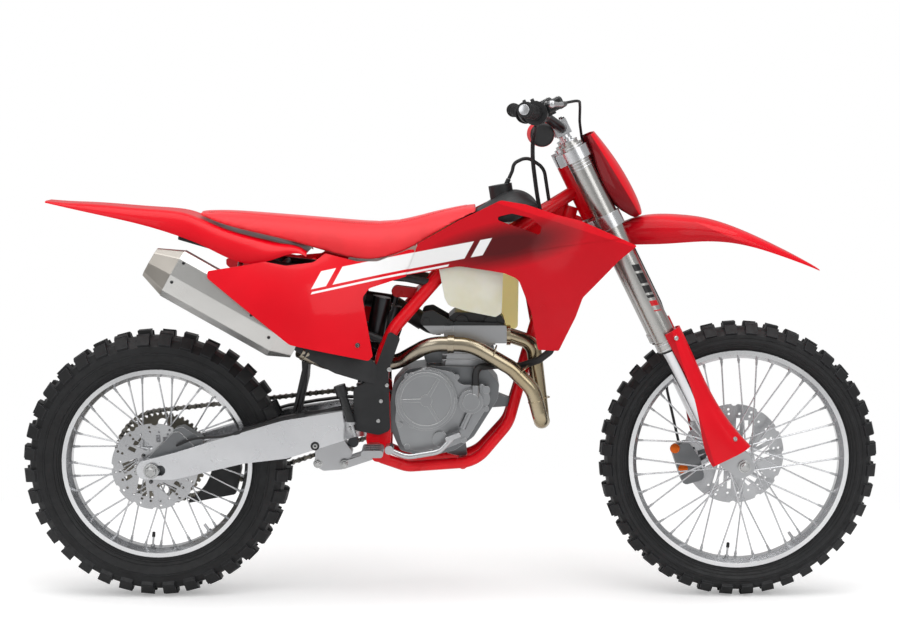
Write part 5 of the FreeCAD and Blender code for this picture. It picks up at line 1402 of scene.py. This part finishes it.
# %% Floor and light
FLOOR_SPAN = 30.0
FLOOR_LIFT = 0.3
SHADOW_REACH = (2.0, 1.6)
SKY_LEVEL = (0.34, 0.6)
WHITE = (1, 1, 1, 1)
BIKE_CENTRE = place(700, 0, 600)


def add_floor():
    """A plain floor at the tyres' feet. Its own glow, seen by the camera alone, lifts it to white."""
    pick()
    bpy.ops.mesh.primitive_plane_add(size=FLOOR_SPAN, location=(0, 0, place(0, 0, 0).z))
    floor = bpy.context.object
    floor.name = "studio_floor"
    material, tree, shader = start_material("studio_floor", "F0F0F0", 0.9, Specular_IOR_Level=0.0)
    split = add_node(tree, "ShaderNodeSeparateXYZ", {}, {"Vector": object_coordinates(tree)}).socket.node
    along = (Field(split.outputs[0]) - BIKE_CENTRE.x) / SHADOW_REACH[0]
    away = Field(split.outputs[1]) / SHADOW_REACH[1]
    seen = add_node(tree, "ShaderNodeLightPath", out="Is Camera Ray")
    far = ramp(along * along + away * away, 0.35, 1.0) * seen
    lift = add_node(tree, "ShaderNodeEmission", {"Color": WHITE}, {"Strength": seen * FLOOR_LIFT})
    lit = add_node(tree, "ShaderNodeAddShader", {}, {0: Field(shader.outputs[0]), 1: lift})
    white = add_node(tree, "ShaderNodeEmission", {"Color": WHITE, "Strength": 1.0})
    feed(tree.nodes["Material Output"].inputs["Surface"],
         add_node(tree, "ShaderNodeMixShader", {}, {0: far, 1: lit, 2: white}))
    dress(floor, material)


def add_world():
    """An even surround: white to the camera, and brighter above than level to the bike."""
    world = bpy.data.worlds.new("studio")
    bpy.context.scene.world = world
    world.use_nodes = True
    tree = world.node_tree
    tree.nodes.clear()
    seen = add_node(tree, "ShaderNodeLightPath", out="Is Camera Ray")
    way = add_node(tree, "ShaderNodeTexCoord", out="Generated")
    upward = Field(add_node(tree, "ShaderNodeSeparateXYZ", {}, {"Vector": way}).socket.node.outputs[2])
    glow = ramp(upward, -0.2, 0.8, *SKY_LEVEL)
    white = add_node(tree, "ShaderNodeBackground", {"Color": WHITE, "Strength": 1.0})
    light = add_node(tree, "ShaderNodeBackground", {"Color": WHITE}, {"Strength": glow})
    mix = add_node(tree, "ShaderNodeMixShader", {}, {0: seen, 1: light, 2: white})
    feed(tree.nodes.new("ShaderNodeOutputWorld").inputs["Surface"], mix)


def add_lamp(name, at, size, watts):
    """A large soft lamp that points at the bike."""
    data = bpy.data.lights.new(name, "AREA")
    data.shape = "RECTANGLE"
    data.size, data.size_y = size
    data.energy = watts
    lamp = show(bpy.data.objects.new(name, data))
    lamp.location = at
    lamp.rotation_euler = (BIKE_CENTRE - at).to_track_quat("-Z", "Y").to_euler()


add_floor()
add_world()
add_lamp("top_softbox", place(700, -600, 3600), (4.5, 2.5), 84)
add_lamp("front_softbox", place(2600, -2800, 2200), (2.0, 2.0), 24)
add_lamp("rear_softbox", place(-1600, -2600, 2000), (2.0, 2.0), 16)
bpy.context.scene.view_settings.view_transform = "Standard"
